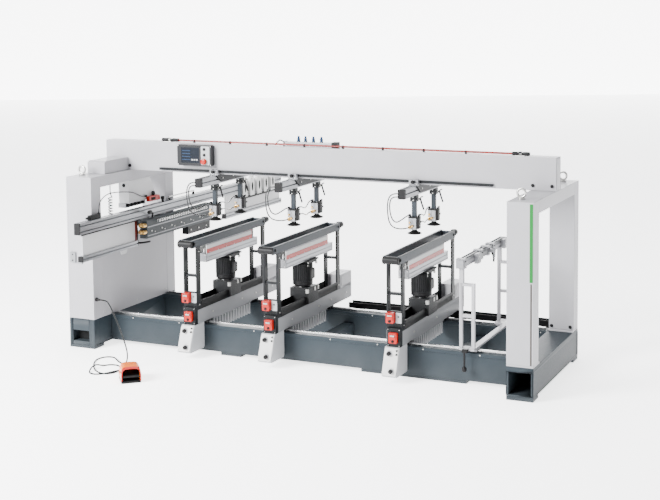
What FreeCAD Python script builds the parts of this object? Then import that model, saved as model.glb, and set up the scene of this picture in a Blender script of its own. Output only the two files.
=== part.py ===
"""Four-row multi-spindle boring machine: one horizontal head and three vertical heads.

Millimetres.  +X runs along the machine from the fence to the open portal, +Y runs from the
operator's side to the back, +Z is up.  The origin is on the floor, under the middle of the
machine's bounding box (the loose foot pedal and its cord not counted).
"""
import FreeCAD, Part
import math
import os

V = FreeCAD.Vector

# ---- driving dimensions -------------------------------------------------------------------
SPINDLE_PITCH = 32.0          # pitch of every row, the 32 mm system
SPINDLES = 21                 # spindles in each row
LENGTH = 3200.0               # over the two end frames
DEPTH = 2850.0                # length of the fence, the deepest piece
FENCE_OVERHANG = 210.0        # the fence stands this far in front of the end frames
FRAME_DEPTH = 1020.0          # depth of both end frames
FRAME_HEIGHT = 1150.0         # top of both end frames
BASE_TOP = 197.0
FOOT_HEIGHT = 20.0
TABLE_HEIGHT = 770.0          # top of the bars that carry the panel
COLUMN_WIDTH = 200.0
PORTAL_WIDTH = 160.0
LEG_DEPTH = 108.0
TUBE_WALL = 6.0
COLUMN_PANEL_TOP = 676.0      # closed part of the left column
COVER_BOTTOM = 915.0          # drive cover in the left column's window
COVER_Y = (450.0, 806.0)
CROSSBAR_HEIGHT = 76.0

BEAM_Y = 474.0                # front face of the overhead beam, behind the end frames' fronts
BEAM_WIDTH = 94.0
BEAM_HEIGHT = 203.0

RAIL_FRONT_Y = 191.0          # front faces of the two base rails
RAIL_REAR_Y = 865.0
RAIL_WIDTH = 92.0
CROSS_MEMBERS = (-1060.0, 60.0, 1000.0)
RAIL_FEET = ((-554.0, -405.0), (443.0, 1130.0))
GUIDE_WIDTH = 23.0
GUIDE_HEIGHT = 14.0
RUN_GAP = 0.5                 # running clearance between sliding bodies

STATION_X = (-717.0, -132.0, 708.0)      # centres of the three vertical stations
STATION_WIDTH = 104.0
CARRIAGE_BOTTOM = 216.0
CARRIAGE_TOP = 308.0
CARRIAGE_REAR_Y = 1240.0
CONSOLE_BOTTOM = 44.0
CONSOLE_LIP_Y = 2.0           # foremost edge of a station's console
CONSOLE_TOP_Y = 61.0
POST_FRONT_Y = 108.0
POST_REAR_Y = 1046.0
POST_X, POST_Y = 12.0, 44.0
BAR_WIDTH, BAR_HEIGHT = 14.0, 50.0
BAR_Y = (50.0, 1060.0)
HEAD_LENGTH = (SPINDLES - 1) * SPINDLE_PITCH + 62.0
HEAD_WIDTH = 72.0
HEAD_MID_Y = 611.0
HEAD_BOTTOM = 594.0
HEAD_TOP = 650.0
GUARD_TOP = 712.0
MOTOR_Y = 585.0
MOTOR_RADIUS = 68.0
LIFT_SPACING = 90.0           # between the two lift rods under a motor
LIFT_TOP = 418.0

ARM_WIDTH, ARM_HEIGHT = 45.0, 58.0
ARM_FRONT_Y = 224.0
ARM_REAR_Y = 1030.0
CLAMP_Y = (446.0, 792.0)      # front and rear hold-down on each arm
FOOT_BOTTOM = 844.0
FITTING_LEFT, FITTING_RIGHT = -28.0, 28.0    # elbows on top of a hold-down, from the arm's middle
FITTING_TOP_Z = 962.0
FITTING_REACH = 22.0
INLET_X, INLET_Z = -22.0, 888.0              # fitting on the hold-down's front face
OUTLET_Z = 915.0                             # fitting behind its dark column

STAND_X = 1147.0
CORD_DIAMETER = 9.0           # cord of the foot pedal
HOSE_DIAMETER = 8.0           # air hoses of the hold-downs

FRONT = -DEPTH / 2 + FENCE_OVERHANG     # y of the front faces of the end frames
LEFT = -LENGTH / 2
RIGHT = LENGTH / 2
COLUMN_IN = LEFT + COLUMN_WIDTH
PORTAL_IN = RIGHT - PORTAL_WIDTH
BEAM_TOP = FRAME_HEIGHT + BEAM_HEIGHT


# ---- small makers: all y values are measured back from the end frames' front faces ----------
def box(x0, x1, y0, y1, z0, z1):
    return Part.makeBox(x1 - x0, y1 - y0, z1 - z0, V(x0, FRONT + y0, z0))


def box_at(x, y, z, dx, dy, dz):
    """A box centred on x and y, standing on z."""
    return box(x - dx / 2, x + dx / 2, y - dy / 2, y + dy / 2, z, z + dz)


def cylinder(x, y, z, radius, length, axis="z"):
    direction = {"x": V(1, 0, 0), "y": V(0, 1, 0), "z": V(0, 0, 1)}[axis]
    return Part.makeCylinder(radius, length, V(x, FRONT + y, z), direction)


def cone(x, y, z, r_bottom, r_top, height):
    return Part.makeCone(r_bottom, r_top, height, V(x, FRONT + y, z), V(0, 0, 1))


def side_prism(outline, x0, x1):
    """An outline of (y, z) points, extruded along X."""
    points = [V(x0, FRONT + y, z) for y, z in outline]
    return Part.Face(Part.makePolygon(points + points[:1])).extrude(V(x1 - x0, 0, 0))


def round_edges(shape, radius, pick):
    """Fillet the edges that pick(edge) accepts."""
    return shape.makeFillet(radius, [edge for edge in shape.Edges if pick(edge)])


def runs_along(axis):
    """A test for straight edges that run along one axis."""
    def test(edge):
        a, b = edge.Vertexes[0].Point, edge.Vertexes[-1].Point
        step = b - a
        return abs(getattr(step, axis)) > 0.99 * step.Length
    return test


def tube(x0, x1, y0, y1, z0, z1, axis, wall=TUBE_WALL):
    """A rectangular tube along one axis with a closing plate let into each end."""
    grow = {"x": 0.0, "y": 0.0, "z": 0.0}
    shrink = {name: wall for name in grow}
    shrink[axis] = 0.0
    inner = box(x0 + shrink["x"], x1 - shrink["x"], y0 + shrink["y"], y1 - shrink["y"],
                z0 + shrink["z"], z1 - shrink["z"])
    shell = box(x0, x1, y0, y1, z0, z1).cut(inner)
    low = {"x": x0, "y": y0, "z": z0}[axis]
    high = {"x": x1, "y": y1, "z": z1}[axis]
    caps = []
    for a, b in ((low, low + wall), (high - wall, high)):
        span = [x0 + shrink["x"], x1 - shrink["x"], y0 + shrink["y"], y1 - shrink["y"],
                z0 + shrink["z"], z1 - shrink["z"]]
        first = {"x": 0, "y": 2, "z": 4}[axis]
        span[first], span[first + 1] = a, b
        caps.append(box(*span))
    return [shell] + caps


def hex_bolt(x, y, z, size, axis):
    """A hexagon head with its washer; the head stands along -Y or +X."""
    outward = {"y": V(0, -1, 0), "x": V(1, 0, 0)}[axis]
    side = {"y": V(1, 0, 0), "x": V(0, 1, 0)}[axis]
    centre = V(x, FRONT + y, z)
    washer = Part.makeCylinder(size, size * 0.2, centre, outward)
    start = centre + outward * (size * 0.2)
    up = outward.cross(side)
    ring = [start + side * (size * 0.86 * math.cos(math.radians(60 * i)))
            + up * (size * 0.86 * math.sin(math.radians(60 * i))) for i in range(6)]
    head = Part.Face(Part.makePolygon(ring + ring[:1])).extrude(outward * (size * 0.6))
    return [washer, head]


def hose(route, diameter, name):
    """A round tube along straight runs joined by the largest tangent arcs that the runs allow."""
    points = [V(x, FRONT + y, z) for x, y, z in route]
    runs = [(b - a).Length for a, b in zip(points, points[1:])]
    edges = []
    start = points[0]
    radii = []
    for i in range(1, len(points) - 1):
        into = (points[i] - points[i - 1]).normalize()
        out = (points[i + 1] - points[i]).normalize()
        turn = into.getAngle(out)
        setback = 0.45 * min(runs[i - 1], runs[i])
        radius = setback / math.tan(turn / 2)
        arc_start = points[i] - into * setback
        arc_end = points[i] + out * setback
        inward = (out - into).normalize()
        crown = points[i] + inward * (radius / math.cos(turn / 2) - radius)
        edges.append(Part.LineSegment(start, arc_start).toShape())
        edges.append(Part.Arc(arc_start, crown, arc_end).toShape())
        start = arc_end
        radii.append(radius)
    edges.append(Part.LineSegment(start, points[-1]).toShape())
    path = Part.Wire(edges)
    circle = Part.Wire(Part.makeCircle(diameter / 2, points[0], points[1] - points[0]))
    solid = path.makePipeShell([circle], True, False)
    area = math.pi * diameter ** 2 / 4
    print(name, "length %.0f, tightest radius %.0f, volume ratio %.4f"
          % (path.Length, min(radii), solid.Volume / (area * path.Length)))
    return solid


# ---- base ---------------------------------------------------------------------------------
def base_rails():
    """Two long rails, each a deep tube with a wider cap plate, and three low cross members."""
    solids = []
    for y in (RAIL_FRONT_Y, RAIL_REAR_Y):
        solids += tube(COLUMN_IN, PORTAL_IN, y + 6, y + RAIL_WIDTH - 4, FOOT_HEIGHT + 2, 176, "x")
        solids.append(box(COLUMN_IN, PORTAL_IN, y, y + RAIL_WIDTH, 176, BASE_TOP))
    for x in CROSS_MEMBERS:
        solids += tube(x - 40, x + 40, RAIL_FRONT_Y + RAIL_WIDTH - 4, RAIL_REAR_Y + 6, 40, 120, "y")
    return solids


def base_end_boxes():
    """The left plinth with its front pocket, and the open-ended channel under the portal."""
    floor = FOOT_HEIGHT
    x0, x1, z0, z1 = LEFT + 28, COLUMN_IN - 42, 46, 118
    solids = [box(LEFT, COLUMN_IN, 60, FRAME_DEPTH, floor, BASE_TOP),
              box(LEFT, x0, 0, 60, floor, BASE_TOP),
              box(x1, COLUMN_IN, 0, 60, floor, BASE_TOP),
              box(x0, x1, 0, 60, floor, z0),
              box(x0, x1, 0, 60, z1, BASE_TOP)]
    wall = 14.0
    solids += [box(PORTAL_IN, RIGHT, 0, FRAME_DEPTH, BASE_TOP - 30, BASE_TOP),
               box(PORTAL_IN, RIGHT, 0, FRAME_DEPTH, floor, floor + wall),
               box(PORTAL_IN, PORTAL_IN + wall, 0, FRAME_DEPTH, floor + wall, BASE_TOP - 30),
               box(RIGHT - wall, RIGHT, 0, FRAME_DEPTH, floor + wall, BASE_TOP - 30),
               box(PORTAL_IN + wall, RIGHT - wall, 500, 510, floor + wall, BASE_TOP - 30)]
    return solids


def levelling_feet():
    """Block feet under the end boxes and low plates under the rails."""
    solids = []
    for x0, x1 in ((LEFT, COLUMN_IN), (PORTAL_IN, RIGHT)):
        for y0, y1 in ((0, LEG_DEPTH), (FRAME_DEPTH - LEG_DEPTH, FRAME_DEPTH)):
            solids.append(box(x0, x1, y0, y1, 0, FOOT_HEIGHT))
    for x0, x1 in RAIL_FEET:
        for y in (RAIL_FRONT_Y, RAIL_REAR_Y):
            solids.append(box(x0, x1, y + 14, y + RAIL_WIDTH - 12, 0, FOOT_HEIGHT + 2))
    return solids


def guide_rails():
    """Bright guides on both base rails, and the steel rail that the arms hang on."""
    solids = []
    for y in (RAIL_FRONT_Y, RAIL_REAR_Y):
        solids.append(box_at(20, y + RAIL_WIDTH / 2, BASE_TOP, LENGTH - 400, GUIDE_WIDTH, GUIDE_HEIGHT))
    z = FRAME_HEIGHT + 12
    solids.append(box(COLUMN_IN + 240, RIGHT - 388, BEAM_Y - 16, BEAM_Y, z, z + 16))
    return solids


# ---- end frames and beam --------------------------------------------------------------------
def left_column():
    """Two legs, a closed lower panel, a top bar, the drive cover and the top hatch."""
    rear = FRAME_DEPTH - LEG_DEPTH
    window_top = FRAME_HEIGHT - CROSSBAR_HEIGHT
    solids = tube(LEFT, COLUMN_IN, 0, LEG_DEPTH, BASE_TOP, FRAME_HEIGHT, "z")
    solids += tube(LEFT, COLUMN_IN, rear, FRAME_DEPTH, BASE_TOP, FRAME_HEIGHT, "z")
    solids += tube(LEFT, COLUMN_IN, LEG_DEPTH, rear, BASE_TOP, COLUMN_PANEL_TOP, "z", 4.0)
    solids += tube(LEFT, COLUMN_IN, LEG_DEPTH, rear, window_top, FRAME_HEIGHT, "y")
    cover = [(COVER_Y[0], COVER_BOTTOM), (COVER_Y[1], COVER_BOTTOM), (COVER_Y[1] - 90, window_top),
             (COVER_Y[0], window_top)]
    solids.append(side_prism(cover, COLUMN_IN - 90, COLUMN_IN - 4))
    hatch = [(190, FRAME_HEIGHT), (BEAM_Y - 2, FRAME_HEIGHT), (BEAM_Y - 2, FRAME_HEIGHT + 88),
             (206, FRAME_HEIGHT + 88), (190, FRAME_HEIGHT + 76)]
    solids.append(side_prism(hatch, LEFT + 40, COLUMN_IN - 20))
    return solids


def right_portal():
    """Two legs on flared foot plates, joined by a top bar; open between the legs."""
    solids = []
    for y0 in (0.0, FRAME_DEPTH - LEG_DEPTH):
        solids += tube(PORTAL_IN, RIGHT, y0, y0 + LEG_DEPTH, BASE_TOP + 12, FRAME_HEIGHT, "z")
        solids.append(box(PORTAL_IN, RIGHT, max(y0 - 24, 0), min(y0 + LEG_DEPTH + 24, FRAME_DEPTH),
                          BASE_TOP, BASE_TOP + 12))
    solids += tube(PORTAL_IN, RIGHT, LEG_DEPTH, FRAME_DEPTH - LEG_DEPTH,
                   FRAME_HEIGHT - CROSSBAR_HEIGHT, FRAME_HEIGHT, "y")
    return solids


def overhead_beam():
    return tube(LEFT, RIGHT, BEAM_Y, BEAM_Y + BEAM_WIDTH, FRAME_HEIGHT, BEAM_TOP, "x")


def frame_bolts():
    """Hexagon bolts at the beam's ends and at the foot of the portal's rear leg."""
    solids = []
    for x in (COLUMN_IN - 6, RIGHT - 144, RIGHT - 26):
        solids += hex_bolt(x, BEAM_Y, FRAME_HEIGHT + 30, 11.0, "y")
    for x in (PORTAL_IN + 18, RIGHT - 22):
        solids += hex_bolt(x, FRAME_DEPTH - LEG_DEPTH, BASE_TOP + 30, 11.0, "y")
    return solids


def lifting_eyes():
    """An eye ring on a collar at the four corners of the end frames."""
    solids = []
    spots = ((LEFT + 58, 104), (LEFT + 60, 930), (RIGHT - 104, 104), (RIGHT - 80, 930))
    for x, y in spots:
        collar = cylinder(x, y, FRAME_HEIGHT, 21, 9)
        ring = Part.makeTorus(24.0, 7.0, V(x, FRONT + y, FRAME_HEIGHT + 37), V(0, 1, 0))
        solids.append(collar.fuse(ring))
    return solids


# ---- air supply and controls ------------------------------------------------------------------
AIR_TUBE_Z = BEAM_TOP + 14.0
COLUMN_HOSE_END = (COLUMN_IN + 6.0, 636.0, COVER_BOTTOM + 29.0)


def air_supply():
    """Manifold with four couplings, the air tube along the beam, and the valve row in the column."""
    y = BEAM_Y + 44
    solids = [box(-214, 150, y - 30, y + 16, BEAM_TOP, BEAM_TOP + 32)]
    solids.append(box(124, 160, y - 34, y + 20, BEAM_TOP + 1, BEAM_TOP + 38).cut(solids[0]))
    for x in (-122.0, -72.0, -15.0, 42.0):
        solids.append(cylinder(x, y - 8, BEAM_TOP + 32, 12, 38))
    solids.append(cylinder(-1016, BEAM_Y + 14, AIR_TUBE_Z, 6, 2340, "x"))
    for x in (-1150.0, 1324.0):
        solids.append(cylinder(x, BEAM_Y + 14, AIR_TUBE_Z, 12, 134 if x < 0 else 110, "x"))
        solids.append(box_at(x + 50, BEAM_Y + 14, BEAM_TOP, 60, 30, 30).cut(solids[-1]))
    solids.append(box(COLUMN_IN - 90, COLUMN_IN - 30, 444, 690, COVER_BOTTOM - 31, COVER_BOTTOM))
    for i in range(5):
        solids.append(cylinder(COLUMN_IN - 30, 468 + 44 * i, COVER_BOTTOM - 15, 10, 24, "x"))
    x, y, z = COLUMN_HOSE_END
    elbow = cylinder(COLUMN_IN - 4, y + 12, z, 6, 10, "x")
    solids.append(elbow.fuse(cylinder(x, y, z, 6, 18, "y")))
    return solids


PANEL_X = (-998.0, -732.0)
PANEL_Y = BEAM_Y - 44.0
PANEL_Z = (1204.0, 1346.0)
BUTTON_X = -786.0
BUTTON_Z = {"start": 1318.0, "stop": 1280.0, "estop": 1236.0}


def control_panel():
    """A rounded enclosure on the beam with a screen let into it and a hole at each button."""
    case = box(PANEL_X[0], PANEL_X[1], PANEL_Y, BEAM_Y, *PANEL_Z)
    case = round_edges(case, 16.0, runs_along("y"))
    case = case.cut(box(-972, -822, PANEL_Y - 1, PANEL_Y + 4, 1218, 1332))
    for name, z in BUTTON_Z.items():
        radius = 15.0 if name == "estop" else 11.0
        case = case.cut(cylinder(BUTTON_X, PANEL_Y - 1, z, radius, 31, "y"))
    screen = box(-971.6, -822.4, PANEL_Y + 1, PANEL_Y + 4, 1218.4, 1331.6)
    return [case, screen]


def push_button(name):
    """A short round button that travels into the panel; the emergency stop has a mushroom head."""
    z = BUTTON_Z[name]
    if name == "estop":
        stem = cylinder(BUTTON_X, PANEL_Y - 9, z, 14.5, 31, "y")
        return [stem.fuse(cylinder(BUTTON_X, PANEL_Y - 24, z, 20, 15, "y"))]
    return [cylinder(BUTTON_X, PANEL_Y - 6, z, 10.5, 28, "y")]


def cable_tray():
    """The long tray behind the rear rail, under the carriages' rear ends, on three brackets."""
    y = FRAME_DEPTH + 60
    x0, x1 = -30.0, RIGHT - 90
    solids = [box(x0, x1, y, y + 70, 172, 178),
              box(x0, x1, y, y + 5, 178, 212),
              box(x0, x1, y + 65, y + 70, 178, 212)]
    rail_back = RAIL_REAR_Y + RAIL_WIDTH
    for x in (40.0, 780.0, 1380.0):
        solids.append(box(x - 35, x + 35, rail_back, y + 70, 160, 172))
        solids.append(box(x - 35, x + 35, rail_back - 4, rail_back, 90, 172))
    return solids


# ---- fence and horizontal head ----------------------------------------------------------------
FENCE_FACE = COLUMN_IN + 54.0
FENCE_TOP = 880.0
FENCE_END = DEPTH - FENCE_OVERHANG
HEAD_GAP = (470.0, 1690.0)      # the opening in the fence for the horizontal head
FINGERS = 5
FINGER_Y = 1968.0               # middle of the first finger of the comb
FINGER_PITCH = 118.0


def fence_rails():
    """The continuous upper extrusion and the two lower rails, with their end caps."""
    x0 = FENCE_FACE - 45
    solids = [box(x0, FENCE_FACE, -FENCE_OVERHANG + 8, FENCE_END - 8, FENCE_TOP - 76, FENCE_TOP)]
    for y in (-FENCE_OVERHANG, FENCE_END - 8):
        solids.append(box(x0, FENCE_FACE, y, y + 8, FENCE_TOP - 76, FENCE_TOP))
    for y0, y1 in ((-185.0, HEAD_GAP[0]), (HEAD_GAP[1], FENCE_END)):
        solids.append(box(x0 + 8, FENCE_FACE, y0, y1, 622, 660))
    for y in (20.0, 960.0):
        solids.append(box(COLUMN_IN, x0, y, y + 50, FENCE_TOP - 70, FENCE_TOP - 10))
    solids.append(box(COLUMN_IN, x0 + 8, 20, 70, 626, 656))
    return solids


def fence_plates():
    """The sheets between the rails, and the comb of round-topped fingers at the rear."""
    solids = []
    for y0, y1 in ((-172.0, HEAD_GAP[0]), (HEAD_GAP[1], FENCE_END - 20)):
        solids.append(box(FENCE_FACE - 12, FENCE_FACE - 8, y0, y1, 660, FENCE_TOP - 76))
    for i in range(FINGERS):
        y = FINGER_Y + FINGER_PITCH * i
        finger = box_at(FENCE_FACE + 14, y, 760, 24, 70, 120)
        finger = finger.fuse(cylinder(FENCE_FACE + 2, y, 880, 35, 24, "x"))
        solids.append(finger)
    comb_end = FINGER_Y + FINGER_PITCH * (FINGERS - 1)
    solids.append(box(FENCE_FACE + 0.5, FENCE_FACE + 26, FINGER_Y - 48, comb_end + 48, 745, 760))
    return solids


HORIZONTAL_Y = (500.0, 1400.0)
HORIZONTAL_X = (COLUMN_IN + 30.0, COLUMN_IN + 104.0)


def horizontal_head():
    """The long gearbox of the horizontal row, with a sloped lower corner at its rear."""
    x0, x1 = HORIZONTAL_X
    y0, y1 = HORIZONTAL_Y
    top = FENCE_TOP - 84
    return [box(FENCE_FACE - 10, x1, y0, y1, 668, top),
            box(FENCE_FACE - 10, x1 - 10, y0 + 560, y1 - 20, 606, 668),
            box(x0, FENCE_FACE - 10, y0 + 60, y1 - 60, 690, top - 10)]


def horizontal_spindles():
    """The 21 chucks of the horizontal row, pointing along +X."""
    middle = sum(HORIZONTAL_Y) / 2
    first = middle - (SPINDLES - 1) * SPINDLE_PITCH / 2
    return [cylinder(HORIZONTAL_X[1], first + i * SPINDLE_PITCH, TABLE_HEIGHT + 9, 9.5, 26, "x")
            for i in range(SPINDLES)]


def horizontal_motor():
    """The flanged motor behind the horizontal gearbox, inside the column's window."""
    y = 830.0
    z = 742.0
    flange = cylinder(COLUMN_IN + 14, y, z, 52, 16, "x")
    return [flange, cylinder(COLUMN_IN - 170, y, z, 60, 184, "x")]


# ---- vertical stations --------------------------------------------------------------------------
def station_carriage(c):
    """The long box that spans both guides, its sloped console, rear box and bearing blocks."""
    half = STATION_WIDTH / 2
    console_back = RAIL_FRONT_Y - 4
    solids = tube(c - half, c + half, POST_FRONT_Y, CARRIAGE_REAR_Y, CARRIAGE_BOTTOM, CARRIAGE_TOP, "y")
    console = [(CONSOLE_TOP_Y, CARRIAGE_BOTTOM), (CONSOLE_LIP_Y, CONSOLE_BOTTOM + 8),
               (CONSOLE_LIP_Y + 12, CONSOLE_BOTTOM), (console_back - 11, CONSOLE_BOTTOM),
               (console_back, CONSOLE_BOTTOM + 14), (console_back, CARRIAGE_BOTTOM)]
    solids.append(side_prism(console, c - half + 8, c + half))
    solids.append(box(c - half, c + half, POST_REAR_Y + 8, CARRIAGE_REAR_Y, CARRIAGE_TOP, 404))
    return solids + [bearing_block(c, y, half) for y in (RAIL_FRONT_Y, RAIL_REAR_Y)]


def bearing_block(c, y, half):
    """A block that hugs a guide from above and both sides."""
    mid = y + RAIL_WIDTH / 2
    block = box(c - half, c + half, mid - 30, mid + 30, BASE_TOP + 2, CARRIAGE_BOTTOM)
    slot = box(c - half - 1, c + half + 1, mid - GUIDE_WIDTH / 2 - RUN_GAP, mid + GUIDE_WIDTH / 2 + RUN_GAP,
               BASE_TOP, BASE_TOP + GUIDE_HEIGHT + RUN_GAP)
    return block.cut(slot)


def console_face(z):
    """y of the console's sloped front at height z."""
    slope = (CONSOLE_TOP_Y - CONSOLE_LIP_Y) / (CARRIAGE_BOTTOM - CONSOLE_BOTTOM - 8)
    return CONSOLE_TOP_Y - (CARRIAGE_BOTTOM - z) * slope


def station_controls(c):
    """Front plate with two knobs and two keys, and the position counters on their bracket."""
    half = STATION_WIDTH / 2
    top, bottom = 212.0, 56.0
    plate = [(console_face(top), top), (console_face(bottom), bottom),
             (console_face(bottom) - 4, bottom), (console_face(top) - 4, top)]
    solids = [side_prism(plate, c - 42, c + 48)]
    for x, z in ((c - 9, 182.0), (c + 16, 84.0)):
        solids.append(cylinder(x, console_face(z) - 26, z, 13, 20, "y"))
    for x, z in ((c + 38, 200.0), (c + 38, 178.0)):
        solids.append(cylinder(x, console_face(z) - 14, z, 6, 9, "y"))
    solids.append(box(c - 35, c + half, 72, POST_FRONT_Y, CARRIAGE_BOTTOM, 330))
    solids.append(box(c - 40, c + half, 96, POST_FRONT_Y, 330, 430))
    solids.append(box(c - 17, c + 37, 44, 72, 242, 306))
    solids.append(box(c - 38, c + 12, 54, 96, 361, 425))
    solids.append(box(c + 15, c + half, 90, 96, 358, 422))
    return solids


def station_frame(c):
    """Four posts with their rungs, the two support bars, the motor tray and the lift unit."""
    half = STATION_WIDTH / 2
    bar_bottom = TABLE_HEIGHT - BAR_HEIGHT
    post_ys = (POST_FRONT_Y, POST_REAR_Y - POST_Y)
    solids = []
    for x in (c - half, c + half - POST_X):
        for y in post_ys:
            solids += tube(x, x + POST_X, y, y + POST_Y, CARRIAGE_TOP, bar_bottom, "z", 2.0)
    for y in post_ys:
        solids.append(box(c - half + POST_X, c + half - POST_X, y + 8, y + 36, 522, 538))
    for x in (c - half, c + half - BAR_WIDTH):
        bar = box(x, x + BAR_WIDTH, *BAR_Y, bar_bottom, TABLE_HEIGHT)
        solids.append(round_edges(bar, 5.0, runs_along("z")))
    for y in (BAR_Y[0] + 14, BAR_Y[1] - 14):
        solids.append(box_at(c, y, bar_bottom + 4, STATION_WIDTH - 2 * BAR_WIDTH, 20, BAR_HEIGHT - 8))
    solids.append(cylinder(c + half - 22, BAR_Y[1], TABLE_HEIGHT - 21, 20, 60, "y"))
    tray_y = (POST_FRONT_Y + POST_Y + 2, POST_REAR_Y - POST_Y - 2)
    solids.append(box(c - half, c + half, *tray_y, CARRIAGE_TOP, CARRIAGE_TOP + 6))
    for x in (c - half, c + half - 6):
        solids.append(box(x, x + 6, *tray_y, CARRIAGE_TOP + 6, CARRIAGE_TOP + 56))
    lift = box_at(c, MOTOR_Y, CARRIAGE_TOP + 6, 136, 150, LIFT_TOP - CARRIAGE_TOP - 6)
    for y in lift_rods():
        lift = lift.cut(cylinder(c, y, CARRIAGE_TOP + 16, 11.06, LIFT_TOP))
    solids.append(lift)
    return solids


def lift_rods():
    """y of the two rods that raise a drill unit."""
    return (MOTOR_Y - LIFT_SPACING / 2, MOTOR_Y + LIFT_SPACING / 2)


def station_head(c):
    """The light-alloy gearbox with the guard strip along each side of its top."""
    y0 = HEAD_MID_Y - HEAD_LENGTH / 2
    y1 = HEAD_MID_Y + HEAD_LENGTH / 2
    half = HEAD_WIDTH / 2
    body = box(c - half, c + half, y0, y1, HEAD_BOTTOM, HEAD_TOP)
    body = round_edges(body, 6.0, runs_along("y"))
    strips = [box(x, x + 6, y0, y1 - 82, HEAD_TOP - 12, GUARD_TOP) for x in (c - half, c + half - 6)]
    end_block = box(c - half, c + half, y1 - 82, y1 - 74, HEAD_TOP, GUARD_TOP)
    for strip in strips:
        body = body.cut(strip)
    return [body, end_block] + strips


def station_motor(c):
    """Flange and motor, and the two rods that carry them in the lift unit."""
    flange_bottom = HEAD_BOTTOM - 22
    motor_bottom = LIFT_TOP + 6
    solids = [box_at(c, HEAD_MID_Y + 11, flange_bottom, 112, 150, 22),
              cylinder(c - 8, MOTOR_Y, motor_bottom, MOTOR_RADIUS, flange_bottom - motor_bottom)]
    solids += [cylinder(c, y, motor_bottom - 95, 11, 95) for y in lift_rods()]
    return solids


def station_spindles(c):
    """The 21 chucks of a vertical row."""
    first = HEAD_MID_Y - (SPINDLES - 1) * SPINDLE_PITCH / 2
    return [cylinder(c, first + i * SPINDLE_PITCH, HEAD_TOP, 9.5, 34) for i in range(SPINDLES)]


# ---- hold-down arms -------------------------------------------------------------------------------
ARM_TOP = FRAME_HEIGHT - 2.0
ARM_BOTTOM = ARM_TOP - ARM_HEIGHT


def hold_down_arm(c):
    """Extrusion with its front cap, side cheeks and the bracket that hangs on the beam's rail."""
    half = ARM_WIDTH / 2
    solids = [box(c - half, c + half, ARM_FRONT_Y + 22, ARM_REAR_Y, ARM_BOTTOM, ARM_TOP),
              box(c - half - 1, c + half + 1, ARM_FRONT_Y, ARM_FRONT_Y + 22, ARM_BOTTOM - 1, ARM_TOP + 1)]
    cheek = [(BEAM_Y - 60, ARM_TOP), (BEAM_Y + 10, ARM_BOTTOM + 8), (BEAM_Y + 330, ARM_BOTTOM + 8),
             (BEAM_Y + 460, ARM_TOP)]
    solids.append(side_prism(cheek, c + half, c + half + 8))
    solids.append(side_prism(cheek, c - half - 8, c - half))
    solids.append(box(c - 30, c + 30, BEAM_Y - 46, BEAM_Y - 17, ARM_TOP, FRAME_HEIGHT + 34))
    solids.append(cylinder(c, BEAM_Y - 62, FRAME_HEIGHT + 22, 10, 16, "y"))
    return solids


def clamp(c, y):
    """A hold-down: block under the arm, square post, twin cylinder, fittings and clamp handle."""
    post_top = ARM_BOTTOM - 2
    body_top, body_bottom = 952.0, 872.0
    solids = [box_at(c, y, post_top - 40, 44, 46, 40),
              box_at(c, y, body_top, 27, 27, post_top - 40 - body_top)]
    body = box_at(c - 6, y, body_bottom, 52, 50, body_top - body_bottom)
    solids.append(round_edges(body, 6.0, runs_along("z")).cut(cylinder(c, y, body_bottom - 1, 10.05, 70)))
    solids.append(box(c + 20, c + 36, y - 20, y + 20, body_bottom + 6, body_top))
    for x, facing in ((c + FITTING_LEFT, -1), (c + FITTING_RIGHT, 1)):
        mouth = cylinder(x, y + min(0, facing * FITTING_REACH), FITTING_TOP_Z, 6.5, FITTING_REACH, "y")
        solids.append(mouth.fuse(cylinder(x, y, body_top, 6.5, FITTING_TOP_Z - body_top)))
    solids.append(cylinder(c + INLET_X, y - 43, INLET_Z, 7, 18, "y"))
    solids.append(cylinder(c + FITTING_RIGHT, y + 20, OUTLET_Z, 6.5, 18, "y"))
    solids.append(cylinder(c + 22, y, post_top - 22, 6, 22, "x"))
    solids.append(box(c + 34, c + 44, y - 5, y + 5, post_top - 84, post_top - 28))
    return solids


def clamp_foot(c, y):
    """Piston rod and bell-shaped rubber foot."""
    rod = cylinder(c, y, FOOT_BOTTOM + 26, 10, 66)
    bell = cone(c, y, FOOT_BOTTOM + 8, 44, 16, 18).fuse(cylinder(c, y, FOOT_BOTTOM, 44, 8))
    return [rod.fuse(bell)]


# Each hose route is a list of (x, y, z) with x counted from the arm's middle.
FEED_LOW = [
    (-23.5, 236, 1122), (-56, 236, 1122), (-86, 237, 1098), (-98, 241, 1050), (-99, 249, 990),
    (-96, 264, 938), (-86, 300, 902), (-56, 332, 888), (-22, 366, 888), (-22, 403, 888),
]
FEED_HIGH = [
    (-23.5, 236, 1102), (-52, 236, 1102), (-76, 238, 1084), (-85, 243, 1042), (-84, 256, 988),
    (-79, 284, 946), (-68, 322, 928), (-50, 356, 942), (-28, 388, 962), (-28, 424, 962),
]
LINK_HIGH = [
    (28, 468, 962), (28, 502, 962), (17, 556, 944), (2, 617, 937), (-14, 676, 944),
    (-28, 734, 962), (-28, 770, 962),
]
LINK_LOW = [
    (28, 484, 915), (28, 516, 915), (16, 566, 902), (0, 622, 887), (-14, 672, 882),
    (-22, 716, 888), (-22, 749, 888),
]


def arm_hoses(c):
    """Two feeds from the arm's cap to the front hold-down, and two links on to the rear one."""
    routes = {"low feed": FEED_LOW, "high feed": FEED_HIGH, "high link": LINK_HIGH, "low link": LINK_LOW}
    return [hose([(c + x, y, z) for x, y, z in route], HOSE_DIAMETER, name)
            for name, route in routes.items()]


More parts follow.
